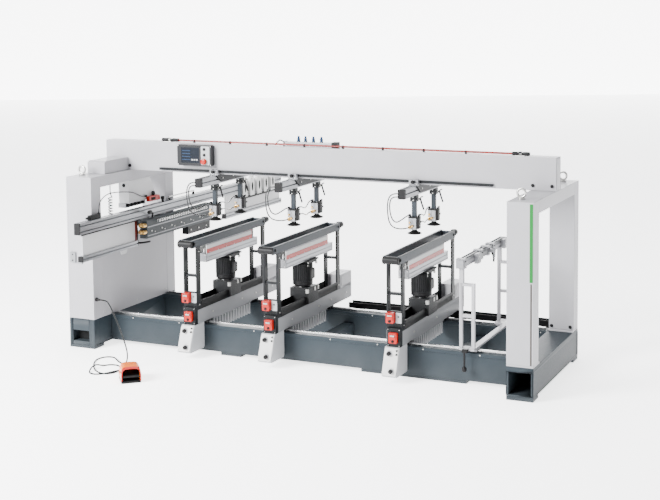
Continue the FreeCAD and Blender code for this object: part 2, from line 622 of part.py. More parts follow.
# ---- side support stand -------------------------------------------------------------------------
def support_stand(c):
    """Front and rear ladder frames on a flat foot beam, carrying the side extrusion."""
    half = 48.0
    z0, z1 = CARRIAGE_BOTTOM, CARRIAGE_BOTTOM + 12
    solids = [box(c + 8, c + half, 160, 960, z0, z1),
              box(c - half, c + 8, 160, 210, z0, z1),
              box(c - half, c + 8, 850, 960, z0, z1)]
    solids += [bearing_block(c, y, half) for y in (RAIL_FRONT_Y, RAIL_REAR_Y)]
    top = 620.0
    for y in (166.0, 905.0):
        for x in (c - half, c + half - 20):
            solids.append(box(x, x + 20, y, y + 20, z1, top))
        for z in (414.0, top - 18):
            solids.append(box(c - half + 20, c + half - 20, y, y + 20, z, z + 18))
        solids.append(box(c - half, c - half + 26, y - 3, y + 23, top, 716))
    solids.append(box(c - half - 10, c - half + 35, 145, 990, 716, 761))
    for y in (340.0, 880.0):
        solids.append(box(c - half + 35, c - half + 60, y, y + 60, 706, 766))
    solids.append(cylinder(c - half + 72, 620, 700, 7, 60))
    solids.append(box(c - half + 35, c - half + 80, 612, 628, 730, 746).cut(solids[-1]))
    solids.append(box(c - 14, c - 4, 140, 150, 110, z0 - 10))
    solids.append(box(c - 22, c + 10, 136, 160, z0 - 10, z1))
    return solids


# ---- foot pedal and its cord ------------------------------------------------------------------------
PEDAL_TURN = -50.0           # its mouth faces between +X and the operator's side
PEDAL_SPOT = (-783.0, -512.0)
PEDAL_LENGTH, PEDAL_WIDTH, PEDAL_HEIGHT = 156.0, 120.0, 106.0
PEDAL_SHELL = 6.0
PEDAL_FLOOR = 14.0
HINGE_X, HINGE_Z = -52.0, 46.0
CORD_ENTRY_Y, CORD_ENTRY_Z = -20.0, 26.0
BOOT_LENGTH = 20.0


def pedal_place(shape):
    """Move a piece from the pedal's own axes, +X out of its mouth, to where it lies."""
    shape.rotate(V(0, 0, 0), V(0, 0, 1), PEDAL_TURN)
    shape.translate(V(PEDAL_SPOT[0], FRONT + PEDAL_SPOT[1], 0))
    return shape


def pedal_prism(outline, y0, y1):
    """A side outline of (x, z) points, extruded across the pedal."""
    points = [V(x, y0, z) for x, z in outline]
    return Part.Face(Part.makePolygon(points + points[:1])).extrude(V(0, y1 - y0, 0))


def pedal_housing():
    """Floor plate, hood open at the mouth, hinge pin and the cord's boot."""
    half = PEDAL_WIDTH / 2
    back, mouth = -PEDAL_LENGTH / 2, PEDAL_LENGTH / 2
    floor = Part.makeBox(PEDAL_LENGTH, PEDAL_WIDTH, PEDAL_FLOOR, V(back, -half, 0))
    outer = [(back, PEDAL_FLOOR), (back, 54), (back + 46, PEDAL_HEIGHT), (mouth - 30, PEDAL_HEIGHT),
             (mouth, 92), (mouth, PEDAL_FLOOR)]
    inner = [(back + PEDAL_SHELL, PEDAL_FLOOR), (back + PEDAL_SHELL, 52),
             (back + 49, PEDAL_HEIGHT - PEDAL_SHELL), (mouth - 31, PEDAL_HEIGHT - PEDAL_SHELL),
             (mouth + 9, 82), (mouth + 9, PEDAL_FLOOR)]
    hood = pedal_prism(outer, -half, half)
    hood = hood.cut(pedal_prism(inner, -half + PEDAL_SHELL, half - PEDAL_SHELL))
    pin_reach = half - PEDAL_SHELL
    pin = Part.makeCylinder(5, 2 * pin_reach, V(HINGE_X, -pin_reach, HINGE_Z), V(0, 1, 0))
    boot = Part.makeCone(6.5, 9, BOOT_LENGTH, V(back - BOOT_LENGTH, CORD_ENTRY_Y, CORD_ENTRY_Z), V(1, 0, 0))
    return [pedal_place(piece) for piece in (floor, hood, pin, boot)]


def pedal_treadle():
    """The foot plate with its knuckle on the hinge pin."""
    half = PEDAL_WIDTH / 2 - 10
    tip = PEDAL_LENGTH / 2 - 4
    plate = pedal_prism([(HINGE_X, 40), (HINGE_X, 54), (tip, 46), (tip, 34)], -half, half)
    knuckle = Part.makeCylinder(10, 2 * half, V(HINGE_X, -half, HINGE_Z), V(0, 1, 0))
    bore = Part.makeCylinder(5.06, 2 * half + 2, V(HINGE_X, -half - 1, HINGE_Z), V(0, 1, 0))
    return [pedal_place(plate.fuse(knuckle).cut(bore))]


GLAND = (COLUMN_IN, 25.0, 332.0)
CONNECTOR = (-1368.0, 34.0, 918.0)       # where the thin hose leaves the connector on the fence


def cable_glands():
    """The cord's gland nut and relief on the column, and the connector block on the fence."""
    x, y, z = GLAND
    nut = cylinder(x, y, z, 13, 12, "x")
    taper = Part.makeCone(9, 6, 22, V(x + 12, FRONT + y, z), V(1, 0, 0))
    x, y, z = CONNECTOR
    block = box(x - 12, x + 12, -74, y + 12, FENCE_TOP, z - 6)
    nub = cylinder(x, -104, z - 21, 8, 30, "y")
    return [nut.fuse(taper), block, nub, cylinder(x, y, z - 6, 7, 6)]


# Out of the connector on the fence, in a high arc past the column's window, to the drive cover.
COLUMN_HOSE = [
    (-1368, 34, 918), (-1368, 34, 948), (-1371, 60, 988), (-1375, 114, 1016), (-1380, 186, 1025),
    (-1384, 262, 1021), (-1388, 336, 1013), (-1391, 410, 1004), (-1393, 484, 989), (-1394, 546, 967),
    (-1394, 596, 944), (-1394, 636, 944),
]
COIL = (-1440.0, 276.0)                  # the hanging curly hose in the column's window


def column_hoses():
    """The thin hose to the valve row, and the curly hose with its straight top."""
    x, y = COIL
    coil = cylinder(x, y, COLUMN_PANEL_TOP, 17, 312)
    window_top = FRAME_HEIGHT - CROSSBAR_HEIGHT
    tail = cylinder(x, y, COLUMN_PANEL_TOP + 312, 4, window_top - COLUMN_PANEL_TOP - 312)
    return [hose(COLUMN_HOSE, 7.0, "column hose"), coil, tail]


# The cord's route: out of the gland, down and back under itself, once round a wide loop on the
# floor, round a smaller one that crosses it on a hump, and in at the back of the pedal.
CORD_ROUTE = [
    (-1366, 25, 332), (-1316, 25, 332), (-1248, -42, 326), (-1176, -112, 302), (-1104, -174, 264),
    (-1038, -227, 212), (-980, -270, 156), (-944, -296, 104), (-944, -296, 58), (-974, -272, 18),
    (-1026, -238, 4.6), (-1084, -198, 4.6), (-1126, -156, 4.6), (-1166, -128, 4.6), (-1210, -138, 4.6),
    (-1234, -180, 4.6), (-1228, -236, 4.6), (-1198, -300, 4.6), (-1154, -364, 4.6), (-1104, -424, 4.6),
    (-1048, -466, 4.6), (-998, -478, 4.6), (-960, -452, 4.6), (-950, -404, 4.6), (-962, -350, 4.6),
    (-990, -306, 4.6), (-1034, -278, 4.6), (-1082, -286, 4.6), (-1112, -326, 4.6), (-1124, -374, 24),
    (-1122, -424, 24), (-1112, -470, 8), (-1086, -502, 4.6), (-1042, -508, 4.6), (-1004, -482, 4.6),
    (-980, -432, 5), (-938, -404, 14), (-890.88, -414.55, 26), (-861.31, -449.78, 26),
]


def main():
    os.makedirs("parts", exist_ok=True)
    nodes = {
        "base_frame": base_rails() + base_end_boxes(), "levelling_feet": levelling_feet(),
        "guide_rails": guide_rails(), "left_column": left_column(),
        "right_portal": right_portal(), "overhead_beam": overhead_beam(),
        "frame_fasteners": frame_bolts() + lifting_eyes(), "air_supply": air_supply(),
        "control_panel": control_panel(), "cable_tray": cable_tray(),
        "cable_glands": cable_glands(), "column_hoses": column_hoses(),
        "fence_rails": fence_rails(), "fence_plates": fence_plates(),
        "horizontal_head": horizontal_head(), "horizontal_spindles": horizontal_spindles(),
        "horizontal_motor": horizontal_motor(), "support_stand": support_stand(STAND_X),
        "pedal_housing": pedal_housing(), "pedal_treadle": pedal_treadle(),
        "pedal_cord": [hose(CORD_ROUTE, CORD_DIAMETER, "pedal cord")],
    }
    for name in BUTTON_Z:
        nodes[name + "_button"] = push_button(name)
    for number, c in enumerate(STATION_X, start=1):
        station = "station%d_" % number
        nodes[station + "carriage"] = station_carriage(c)
        nodes[station + "controls"] = station_controls(c)
        nodes[station + "frame"] = station_frame(c)
        nodes[station + "head"] = station_head(c)
        nodes[station + "motor"] = station_motor(c)
        nodes[station + "spindles"] = station_spindles(c)
        arm = "arm%d_" % number
        nodes[arm + "beam"] = hold_down_arm(c)
        nodes[arm + "hoses"] = arm_hoses(c)
        for place, y in zip(("front", "rear"), CLAMP_Y):
            nodes[arm + place + "_clamp"] = clamp(c, y)
            nodes[arm + place + "_foot"] = clamp_foot(c, y)
    for name, solids in nodes.items():
        Part.makeCompound(solids).exportStep("parts/%s.step" % name)
    print(len(nodes), "nodes")


main()
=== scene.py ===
"""Looks of the four-row boring machine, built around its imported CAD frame.

Pieces are laid out in millimetres, with y measured back from the front faces of the end frames,
as in the part's source.  Piece turns them into metres in the row frame.
"""

import itertools
import math

import bmesh
import bpy
from mathutils import Matrix, Vector


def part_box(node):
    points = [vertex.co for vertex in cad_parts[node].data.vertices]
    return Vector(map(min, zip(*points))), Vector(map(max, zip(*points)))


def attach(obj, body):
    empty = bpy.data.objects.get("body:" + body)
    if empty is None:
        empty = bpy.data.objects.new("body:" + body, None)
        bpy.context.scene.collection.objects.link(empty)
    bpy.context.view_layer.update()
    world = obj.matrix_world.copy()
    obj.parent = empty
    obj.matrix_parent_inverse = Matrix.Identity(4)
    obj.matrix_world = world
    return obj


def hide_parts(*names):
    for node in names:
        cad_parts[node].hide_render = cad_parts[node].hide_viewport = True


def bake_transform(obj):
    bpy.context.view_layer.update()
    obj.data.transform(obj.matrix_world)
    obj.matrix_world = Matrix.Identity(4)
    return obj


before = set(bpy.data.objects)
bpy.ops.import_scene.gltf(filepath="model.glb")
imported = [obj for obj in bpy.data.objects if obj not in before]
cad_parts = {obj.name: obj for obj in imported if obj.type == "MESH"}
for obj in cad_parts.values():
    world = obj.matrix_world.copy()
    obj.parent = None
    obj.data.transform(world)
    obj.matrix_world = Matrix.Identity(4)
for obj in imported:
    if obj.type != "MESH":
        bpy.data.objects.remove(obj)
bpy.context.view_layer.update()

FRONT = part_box("right_portal")[0].y * 1000
STATIONS = (1, 2, 3)


def middle_x(node):
    """x of the middle of a CAD node, in millimetres."""
    low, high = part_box(node)
    return (low.x + high.x) * 500


STAND_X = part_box("support_stand")[0].x * 1000 + 58
STATION_X = {n: middle_x("station%d_frame" % n) for n in STATIONS}


def placed(name, data):
    """A new object in the scene."""
    made = bpy.data.objects.new(name, data)
    bpy.context.scene.collection.objects.link(made)
    return made


# ---- camera ----------------------------------------------
CAMERA_SPOT = (3.599, -8.221, 2.246)                # metres
CAMERA_AZIMUTH, CAMERA_TILT, CAMERA_ROLL = 0.433, 0.089, -0.009       # radians
CAMERA_LENS = 70.61
CAMERA_SHIFT = (-0.0044, -0.1907)                   # keeps the verticals upright in the frame


def photo_camera():
    """A long lens to the right of the machine, looking a little down at it."""
    azimuth, tilt, roll = CAMERA_AZIMUTH, CAMERA_TILT, CAMERA_ROLL
    forward = Vector((-math.sin(azimuth) * math.cos(tilt), math.cos(azimuth) * math.cos(tilt),
                      -math.sin(tilt)))
    level = Vector((math.cos(azimuth), math.sin(azimuth), 0))
    upright = level.cross(forward)
    right = level * math.cos(roll) + upright * math.sin(roll)
    up = upright * math.cos(roll) - level * math.sin(roll)
    lens = bpy.data.cameras.new("photo_camera")
    lens.sensor_width = 36.0
    lens.lens = CAMERA_LENS
    lens.shift_x, lens.shift_y = CAMERA_SHIFT
    camera = placed("photo_camera", lens)
    turn = Matrix((right, up, -forward)).transposed().to_4x4()
    camera.matrix_world = Matrix.Translation(CAMERA_SPOT) @ turn
    bpy.context.scene.camera = camera


# ---- materials -------------------------------------------
def finish_of(name, colour, roughness, metallic=0.0, spread=0.10, grain=90.0, bump=0.04,
              stretch=(1, 1, 1), coat=0.0, dust=0.0, specular=0.14):
    """A material whose colour, roughness and surface vary by noise.

    grain is the noise scale per metre, stretch draws the noise out along an axis, and dust lightens
    the lowest 0.2 m.
    """
    material = bpy.data.materials.new(name)
    material.use_nodes = True
    nodes, links = material.node_tree.nodes, material.node_tree.links
    shader = nodes["Principled BSDF"]
    shader.inputs["Metallic"].default_value = metallic
    shader.inputs["Specular IOR Level"].default_value = specular
    shader.inputs["Coat Weight"].default_value = coat
    shader.inputs["Coat Roughness"].default_value = 0.15
    place = nodes.new("ShaderNodeTexCoord")

    def node(kind, **values):
        made = nodes.new("ShaderNode" + kind)
        for socket, value in values.items():
            made.inputs[socket.replace("_", " ")].default_value = value
        return made

    def mix(factor):
        made = node("Mix")
        made.data_type = "RGBA"
        links.new(factor, made.inputs["Factor"])
        return made

    mapping = node("Mapping", Scale=stretch)
    links.new(place.outputs["Object"], mapping.inputs["Vector"])

    def noise(scale, detail):
        made = node("TexNoise", Scale=scale, Detail=detail)
        links.new(mapping.outputs["Vector"], made.inputs["Vector"])
        return made.outputs["Fac"]

    cloudy, fine = noise(grain * 0.06, 4), noise(grain, 3)
    blend = node("Math")
    blend.operation = "MULTIPLY_ADD"
    blend.inputs[1].default_value = 0.35
    links.new(fine, blend.inputs[0])
    links.new(cloudy, blend.inputs[2])
    contrast = node("MapRange", From_Min=0.45, From_Max=0.9)
    links.new(blend.outputs[0], contrast.inputs["Value"])
    tone = mix(contrast.outputs["Result"])
    tone.inputs["A"].default_value = [c * (1 - spread) for c in colour] + [1]
    tone.inputs["B"].default_value = [min(1, c * (1 + spread)) for c in colour] + [1]
    colour_out = tone.outputs["Result"]
    if dust:
        split = node("SeparateXYZ")
        links.new(place.outputs["Object"], split.inputs["Vector"])
        low = node("MapRange", From_Min=0.2, From_Max=0.0, To_Max=dust)
        links.new(split.outputs["Z"], low.inputs["Value"])
        settled = node("Math")
        settled.operation = "MULTIPLY"
        links.new(low.outputs["Result"], settled.inputs[0])
        links.new(cloudy, settled.inputs[1])
        dusty = mix(settled.outputs[0])
        dusty.inputs["B"].default_value = (0.42, 0.40, 0.36, 1)
        links.new(colour_out, dusty.inputs["A"])
        colour_out = dusty.outputs["Result"]
    links.new(colour_out, shader.inputs["Base Color"])
    rough = node("MapRange", To_Min=max(0.03, roughness - 0.08), To_Max=min(1.0, roughness + 0.08))
    links.new(fine, rough.inputs["Value"])
    links.new(rough.outputs["Result"], shader.inputs["Roughness"])
    relief = node("Bump", Strength=bump, Distance=0.001)
    links.new(noise(grain * 7, 2), relief.inputs["Height"])
    links.new(relief.outputs["Normal"], shader.inputs["Normal"])
    return material


# name: colour, roughness, then any of metallic, spread, grain, bump, stretch, coat and dust
FINISHES = {
    "enamel_light": ((0.285, 0.283, 0.298), 0.42, dict(spread=0.035, bump=0.10, coat=0.15)),
    "enamel_white": ((0.42, 0.42, 0.428), 0.40, dict(spread=0.03, bump=0.08, coat=0.15)),
    "enamel_slate": ((0.0145, 0.0210, 0.0265), 0.46, dict(spread=0.10, bump=0.12, dust=0.05)),
    "enamel_anthracite": ((0.0045, 0.0055, 0.0065), 0.40, dict(spread=0.12, bump=0.10)),
    "enamel_grey": ((0.175, 0.180, 0.188), 0.42, dict(spread=0.05, bump=0.10)),
    "aluminium": ((0.225, 0.230, 0.242), 0.34,
                  dict(metallic=0.85, spread=0.05, grain=260, bump=0.05, stretch=(0.15, 1, 1))),
    "aluminium_y": ((0.225, 0.230, 0.242), 0.34,
                    dict(metallic=0.85, spread=0.05, grain=260, bump=0.05, stretch=(1, 0.15, 1))),
    "alloy": ((0.19, 0.193, 0.203), 0.40, dict(metallic=0.75, spread=0.07, grain=200, bump=0.10)),
    "steel": ((0.448, 0.448, 0.448), 0.24,
              dict(metallic=1.0, spread=0.08, grain=300, bump=0.05, stretch=(0.2, 1, 1))),
    "zinc": ((0.480, 0.480, 0.464), 0.32, dict(metallic=1.0, spread=0.12, grain=240, bump=0.06)),
    "brass": ((0.464, 0.288, 0.104), 0.32, dict(metallic=1.0, spread=0.12, grain=260, bump=0.05)),
    "black_plastic": ((0.0045, 0.0045, 0.005), 0.45, dict(spread=0.2, grain=300, bump=0.15)),
    "screen": ((0.003, 0.005, 0.009), 0.16, dict(spread=0.25, grain=40, bump=0.0, coat=0.1)),
    "bezel": ((0.010, 0.0105, 0.012), 0.30, dict(spread=0.12, grain=260, bump=0.08, coat=0.2)),
    "panel_grey": ((0.290, 0.296, 0.307), 0.40, dict(spread=0.04, grain=260, bump=0.06)),
    # white plastic; also used for the white band over the red guard strips, which is a painted highlight
    "white_plastic_and_painted_highlight": ((0.487, 0.487, 0.481), 0.38, dict(spread=0.03, grain=200, bump=0.05)),
    "red_plastic": ((0.30, 0.0060, 0.0025), 0.34, dict(spread=0.10, grain=240, bump=0.06, coat=0.2)),
    "red_tube": ((0.15, 0.0080, 0.0050), 0.34, dict(spread=0.12, grain=200, bump=0.04, coat=0.2)),
    "blue_plastic": ((0.008, 0.022, 0.055), 0.32, dict(spread=0.10, grain=240, bump=0.05)),
    "pedal_yellow": ((0.52, 0.105, 0.001), 0.30, dict(spread=0.08, grain=160, bump=0.08, coat=0.3)),
    "green_trim": ((0.003, 0.120, 0.018), 0.36, dict(spread=0.06, grain=160, bump=0.04)),
    "taupe_trim": ((0.045, 0.040, 0.035), 0.45, dict(spread=0.08, grain=160, bump=0.04)),
    "rubber": ((0.004, 0.004, 0.004), 0.62, dict(spread=0.25, grain=340, bump=0.25)),
    "cable": ((0.009, 0.010, 0.010), 0.42, dict(spread=0.2, grain=400, bump=0.10)),
    "hose": ((0.008, 0.009, 0.010), 0.25, dict(spread=0.2, grain=300, bump=0.04, coat=0.4)),
    "motor": ((0.0085, 0.0090, 0.0098), 0.50, dict(spread=0.16, grain=180, bump=0.30)),
    "bar_slate": ((0.020, 0.025, 0.031), 0.42, dict(spread=0.10, bump=0.10)),
    "head_slate": ((0.032, 0.037, 0.040), 0.44, dict(spread=0.08, bump=0.12)),
    "dark_red": ((0.060, 0.003, 0.002), 0.42, dict(spread=0.12, grain=200, bump=0.05)),
    # painted shade: near-black for thin sheets set in holes, windows and openings, standing in for the shade
    # inside them
    "painted_shade": ((0.003, 0.0035, 0.004), 0.7, dict(spread=0.2, grain=120, bump=0.05)),
}
BLACK, ANTHRACITE, PANEL = "black_plastic", "enamel_anthracite", "panel_grey"
F = {name: finish_of(name, colour, roughness, **rest) for name, (colour, roughness, rest) in FINISHES.items()}


# ---- CAD nodes that stay ---------------------------------
def soften(piece, width, join=True):
    """Joined faces, a small round on every sharp edge, and shading that keeps large faces flat."""
    if join:
        weld = piece.modifiers.new("weld", "WELD")
        weld.merge_threshold = 0.00002
        planar = piece.modifiers.new("planar", "DECIMATE")
        planar.decimate_type = "DISSOLVE"
        planar.angle_limit = math.radians(1)
    if width:
        bevel = piece.modifiers.new("bevel", "BEVEL")
        bevel.width = width / 1000
        bevel.segments = 2
        bevel.limit_method = "ANGLE"
        bevel.angle_limit = math.radians(35)
        bevel.use_clamp_overlap = False
    even = piece.modifiers.new("even", "WEIGHTED_NORMAL")
    even.keep_sharp = False


def dress(node, finish, patches=(), width=1.2):
    """Give a CAD node its material, and other materials to the solids inside each patch's box."""
    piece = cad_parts[node]
    mesh = piece.data
    mesh.materials.clear()
    mesh.materials.append(F[finish])
    for polygon in mesh.polygons:
        polygon.material_index = 0
        polygon.use_smooth = True
    for name, low, high in patches:
        mesh.materials.append(F[name])
        index = len(mesh.materials) - 1
        low = [low[0] / 1000, (FRONT + low[1]) / 1000, low[2] / 1000]
        high = [high[0] / 1000, (FRONT + high[1]) / 1000, high[2] / 1000]
        inside = [all(a - 0.0004 <= c <= b + 0.0004 for a, c, b in zip(low, v.co, high))
                  for v in mesh.vertices]
        for polygon in mesh.polygons:
            if all(inside[i] for i in polygon.vertices):
                polygon.material_index = index
    soften(piece, width)


# ---- a builder for the pieces that replace or join the CAD nodes 
AXES = {"x": (1, 2, 0), "y": (0, 2, 1), "z": (0, 1, 2)}      # places of an outline's two axes, then its own


def prism_faces(count):
    """Faces of a prism whose two outlines of count points follow each other."""
    faces = [tuple(range(count)), tuple(range(2 * count - 1, count - 1, -1))]
    return faces + [(i, (i + 1) % count, count + (i + 1) % count, count + i) for i in range(count)]


def tube_faces(rings, sides):
    """Faces of a tube of rings with closed ends."""
    faces = [(r * sides + i, r * sides + (i + 1) % sides, (r + 1) * sides + (i + 1) % sides,
              (r + 1) * sides + i) for r in range(rings - 1) for i in range(sides)]
    last = (rings - 1) * sides
    return faces + [tuple(range(sides)), tuple(range(last + sides - 1, last - 1, -1))]


class Piece:
    """One object made of prisms, turned shapes and boxes, each with its own finish."""

    def __init__(self, name, x=0.0):
        self.name = name
        self.origin = Vector((x, FRONT, 0))
        self.work = bmesh.new()
        self.finishes = []

    def add(self, points, faces, finish):
        if finish not in self.finishes:
            self.finishes.append(finish)
        index = self.finishes.index(finish)
        made = [self.work.verts.new((Vector(p) + self.origin) / 1000) for p in points]
        for corners in faces:
            face = self.work.faces.new([made[i] for i in corners])
            face.material_index = index
            face.smooth = True

    def prism(self, outline, axis, low, high, finish):
        """An outline in the other two axes' order, drawn out along an axis."""
        a, b, c = AXES[axis]
        points = []
        for level in (low, high):
            for p, q in outline:
                point = [0, 0, 0]
                point[a], point[b], point[c] = p, q, level
                points.append(point)
        self.add(points, prism_faces(len(outline)), finish)

    def box(self, x0, x1, y0, y1, z0, z1, finish):
        self.prism([(x0, y0), (x1, y0), (x1, y1), (x0, y1)], "z", z0, z1, finish)

    def turned(self, profile, at, axis, finish, sides=28):
        """(radius, height) pairs turned about an axis through a point; it ends in flat faces."""
        a, b, c = AXES[axis]
        points = []
        for radius, height in profile:
            for i in range(sides):
                turn = 2 * math.pi * i / sides
                point = list(at)
                point[a] += radius * math.cos(turn)
                point[b] += radius * math.sin(turn)
                point[c] += height
                points.append(point)
        self.add(points, tube_faces(len(profile), sides), finish)

    def rod(self, radius, length, at, axis, finish, sides=28):
        self.turned([(radius, 0), (radius, length)], at, axis, finish, sides)

    def bent(self, path, radius, finish, sides=14):
        """A round rod through points, with its ends closed."""
        points = [Vector(p) for p in path]
        self.add(rings_along(points, radius, sides), tube_faces(len(points), sides), finish)

    def bolt(self, x, y, z, size, axis, way, finish="zinc"):
        """A hexagon head on a washer; way is +1 or -1 along the axis."""
        self.turned([(size, 0), (size, way * size * 0.2)], (x, y, z), axis, finish, 20)
        self.turned([(size * 0.8, way * size * 0.2), (size * 0.8, way * size * 0.7),
                     (size * 0.66, way * size * 0.8)], (x, y, z), axis, finish, 6)

    def bolts(self, xs, ys, zs, size, axis, way, finish="zinc"):
        """A bolt at every combination of the given places."""
        for spot in itertools.product(xs, ys, zs):
            self.bolt(*spot, size, axis, way, finish)

    def done(self, body, replaces=(), width=0.8):
        bmesh.ops.recalc_face_normals(self.work, faces=self.work.faces[:])
        mesh = bpy.data.meshes.new(self.name)
        self.work.to_mesh(mesh)
        self.work.free()
        for finish in self.finishes:
            mesh.materials.append(F[finish])
        piece = placed(self.name, mesh)
        soften(piece, width, join=False)
        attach(piece, body)
        if replaces:
            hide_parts(*replaces)
        return piece


def rings_along(points, radius, sides):
    """Rings of points square to a path, without twist."""
    rings = []
    side = None
    for i, point in enumerate(points):
        ahead = points[min(i + 1, len(points) - 1)] - points[max(i - 1, 0)]
        ahead.normalize()
        if side is None:
            side = ahead.orthogonal().normalized()
        side = (side - ahead * side.dot(ahead)).normalized()
        other = ahead.cross(side)
        rings += [point + (side * math.cos(2 * math.pi * k / sides)
                           + other * math.sin(2 * math.pi * k / sides)) * radius for k in range(sides)]
    return rings


def slotted(a0, a1, b0, b1, low_a=(), high_a=(), low_b=(), high_b=(), mouth=9.0, lip=3.0,
            hollow=17.0, depth=11.0):
    """A rectangular outline with T-slots: the tuples give the slots' places along each side."""
    def slot(place, edge, inward, along):
        steps = ((-mouth / 2, 0), (-mouth / 2, lip), (-hollow / 2, lip), (-hollow / 2, depth),
                 (hollow / 2, depth), (hollow / 2, lip), (mouth / 2, lip), (mouth / 2, 0))
        if along in ("-a", "-b"):
            steps = steps[::-1]
        return [(place + s, edge + inward * d) if "a" in along else (edge + inward * d, place + s)
                for s, d in steps]
    outline = [(a0, b0)]
    for place in sorted(low_b):
        outline += slot(place, b0, 1, "+a")
    outline.append((a1, b0))
    for place in sorted(high_a):
        outline += slot(place, a1, -1, "+b")
    outline.append((a1, b1))
    for place in sorted(high_b, reverse=True):
        outline += slot(place, b1, -1, "-a")
    outline.append((a0, b1))
    for place in sorted(low_a, reverse=True):
        outline += slot(place, a0, 1, "-b")
    return outline


# ---- cords and hoses -------------------------------------
# Each route gives x, y behind the end frames' fronts, and z, in metres, as in the part's source.
PEDAL_CORD = [
    (-1.366, 0.025, 0.332), (-1.316, 0.025, 0.332), (-1.248, -0.042, 0.326), (-1.176, -0.112, 0.302),
    (-1.104, -0.174, 0.264), (-1.038, -0.227, 0.212), (-0.980, -0.270, 0.156), (-0.944, -0.296, 0.104),
    (-0.944, -0.296, 0.058), (-0.974, -0.272, 0.018), (-1.026, -0.238, 0.0046), (-1.084, -0.198, 0.0046),
    (-1.126, -0.156, 0.0046), (-1.166, -0.128, 0.0046), (-1.210, -0.138, 0.0046), (-1.234, -0.180, 0.0046),
    (-1.228, -0.236, 0.0046), (-1.198, -0.300, 0.0046), (-1.154, -0.364, 0.0046), (-1.104, -0.424, 0.0046),
    (-1.048, -0.466, 0.0046), (-0.998, -0.478, 0.0046), (-0.960, -0.452, 0.0046), (-0.950, -0.404, 0.0046),
    (-0.962, -0.350, 0.0046), (-0.990, -0.306, 0.0046), (-1.034, -0.278, 0.0046), (-1.082, -0.286, 0.0046),
    (-1.112, -0.326, 0.0046), (-1.124, -0.374, 0.024), (-1.122, -0.424, 0.024), (-1.112, -0.470, 0.008),
    (-1.086, -0.502, 0.0046), (-1.042, -0.508, 0.0046), (-1.004, -0.482, 0.0046), (-0.980, -0.432, 0.005),
    (-0.938, -0.404, 0.014), (-0.89088, -0.41455, 0.026), (-0.86131, -0.44978, 0.026),
]
COLUMN_HOSE = [
    (-1.368, 0.034, 0.918), (-1.368, 0.034, 0.948), (-1.371, 0.060, 0.988), (-1.375, 0.114, 1.016),
    (-1.380, 0.186, 1.025), (-1.384, 0.262, 1.021), (-1.388, 0.336, 1.013), (-1.391, 0.410, 1.004),
    (-1.393, 0.484, 0.989), (-1.394, 0.546, 0.967), (-1.394, 0.596, 0.944), (-1.394, 0.636, 0.944),
]
FEED_LOW = [
    (-0.0235, 0.236, 1.122), (-0.056, 0.236, 1.122), (-0.086, 0.237, 1.098), (-0.098, 0.241, 1.050),
    (-0.099, 0.249, 0.990), (-0.096, 0.264, 0.938), (-0.086, 0.300, 0.902), (-0.056, 0.332, 0.888),
    (-0.022, 0.366, 0.888), (-0.022, 0.403, 0.888),
]
FEED_HIGH = [
    (-0.0235, 0.236, 1.102), (-0.052, 0.236, 1.102), (-0.076, 0.238, 1.084), (-0.085, 0.243, 1.042),
    (-0.084, 0.256, 0.988), (-0.079, 0.284, 0.946), (-0.068, 0.322, 0.928), (-0.050, 0.356, 0.942),
    (-0.028, 0.388, 0.962), (-0.028, 0.424, 0.962),
]
LINK_HIGH = [
    (0.028, 0.468, 0.962), (0.028, 0.502, 0.962), (0.017, 0.556, 0.944), (0.002, 0.617, 0.937),
    (-0.014, 0.676, 0.944), (-0.028, 0.734, 0.962), (-0.028, 0.770, 0.962),
]
LINK_LOW = [
    (0.028, 0.484, 0.915), (0.028, 0.516, 0.915), (0.016, 0.566, 0.902), (0.000, 0.622, 0.887),
    (-0.014, 0.672, 0.882), (-0.022, 0.716, 0.888), (-0.022, 0.749, 0.888),
]
ARM_HOSE_RADIUS = 0.004


def in_row(route, x=0.0):
    """A route's points in the row frame."""
    return [Vector((x + px, FRONT / 1000 + py, pz)) for px, py, pz in route]


def nurbs(name, points, radius=0.0):
    """A curve object of one smooth spline with these control points."""
    curve = bpy.data.curves.new(name, "CURVE")
    curve.dimensions = "3D"
    curve.resolution_u = 8
    curve.bevel_depth = radius
    curve.bevel_resolution = 4
    curve.use_fill_caps = True
    spline = curve.splines.new("NURBS")
    spline.points.add(len(points) - 1)
    for control, point in zip(spline.points, points):
        control.co = (*point, 1)
    spline.order_u = 3
    spline.use_endpoint_u = True
    return placed(name, curve)


def line_of(name, points):
    """The points along the spline of a route."""
    piece = nurbs(name, points)
    bpy.context.view_layer.update()
    mesh = bpy.data.meshes.new_from_object(piece)
    line = [v.co.copy() for v in mesh.vertices]
    bpy.data.meshes.remove(mesh)
    bpy.data.objects.remove(piece)
    return line


def hose_tube(name, line, radius, sides=12):
    """A mesh tube that follows a line of points."""
    work = bmesh.new()
    made = [work.verts.new(p) for p in rings_along(line, radius, sides)]
    for corners in tube_faces(len(line), sides):
        work.faces.new([made[i] for i in corners])
    bmesh.ops.recalc_face_normals(work, faces=work.faces[:])
    mesh = bpy.data.meshes.new(name)
    for face in work.faces:
        face.smooth = len(face.verts) == 4
    work.to_mesh(mesh)
    work.free()
    mesh.materials.append(F["hose"])
    return placed(name, mesh)


def pedal_cord():
    cord = nurbs("pedal_cord_line", in_row(PEDAL_CORD), 0.0045)
    cord.data.materials.append(F["cable"])
    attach(cord, "frame")
    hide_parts("pedal_cord")


COIL_X, COIL_Y = -1440.0, 276.0          # axis of the curly hose, in millimetres
COIL_LOW, COIL_HIGH, COIL_HANG = 680.0, 984.0, 1074.0
COIL_RADIUS = 13.4
COIL_PITCH = 19.0
POINTS_PER_TURN = 8


def column_hoses():
    """The thin hose over the column's window, and the curly hose that hangs in it."""
    thin = nurbs("column_hose_line", in_row(COLUMN_HOSE), 0.0035)
    coil = curly_hose()
    for piece in (thin, coil):
        piece.data.materials.append(F["hose"])
        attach(piece, "frame")
        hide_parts("column_hoses")


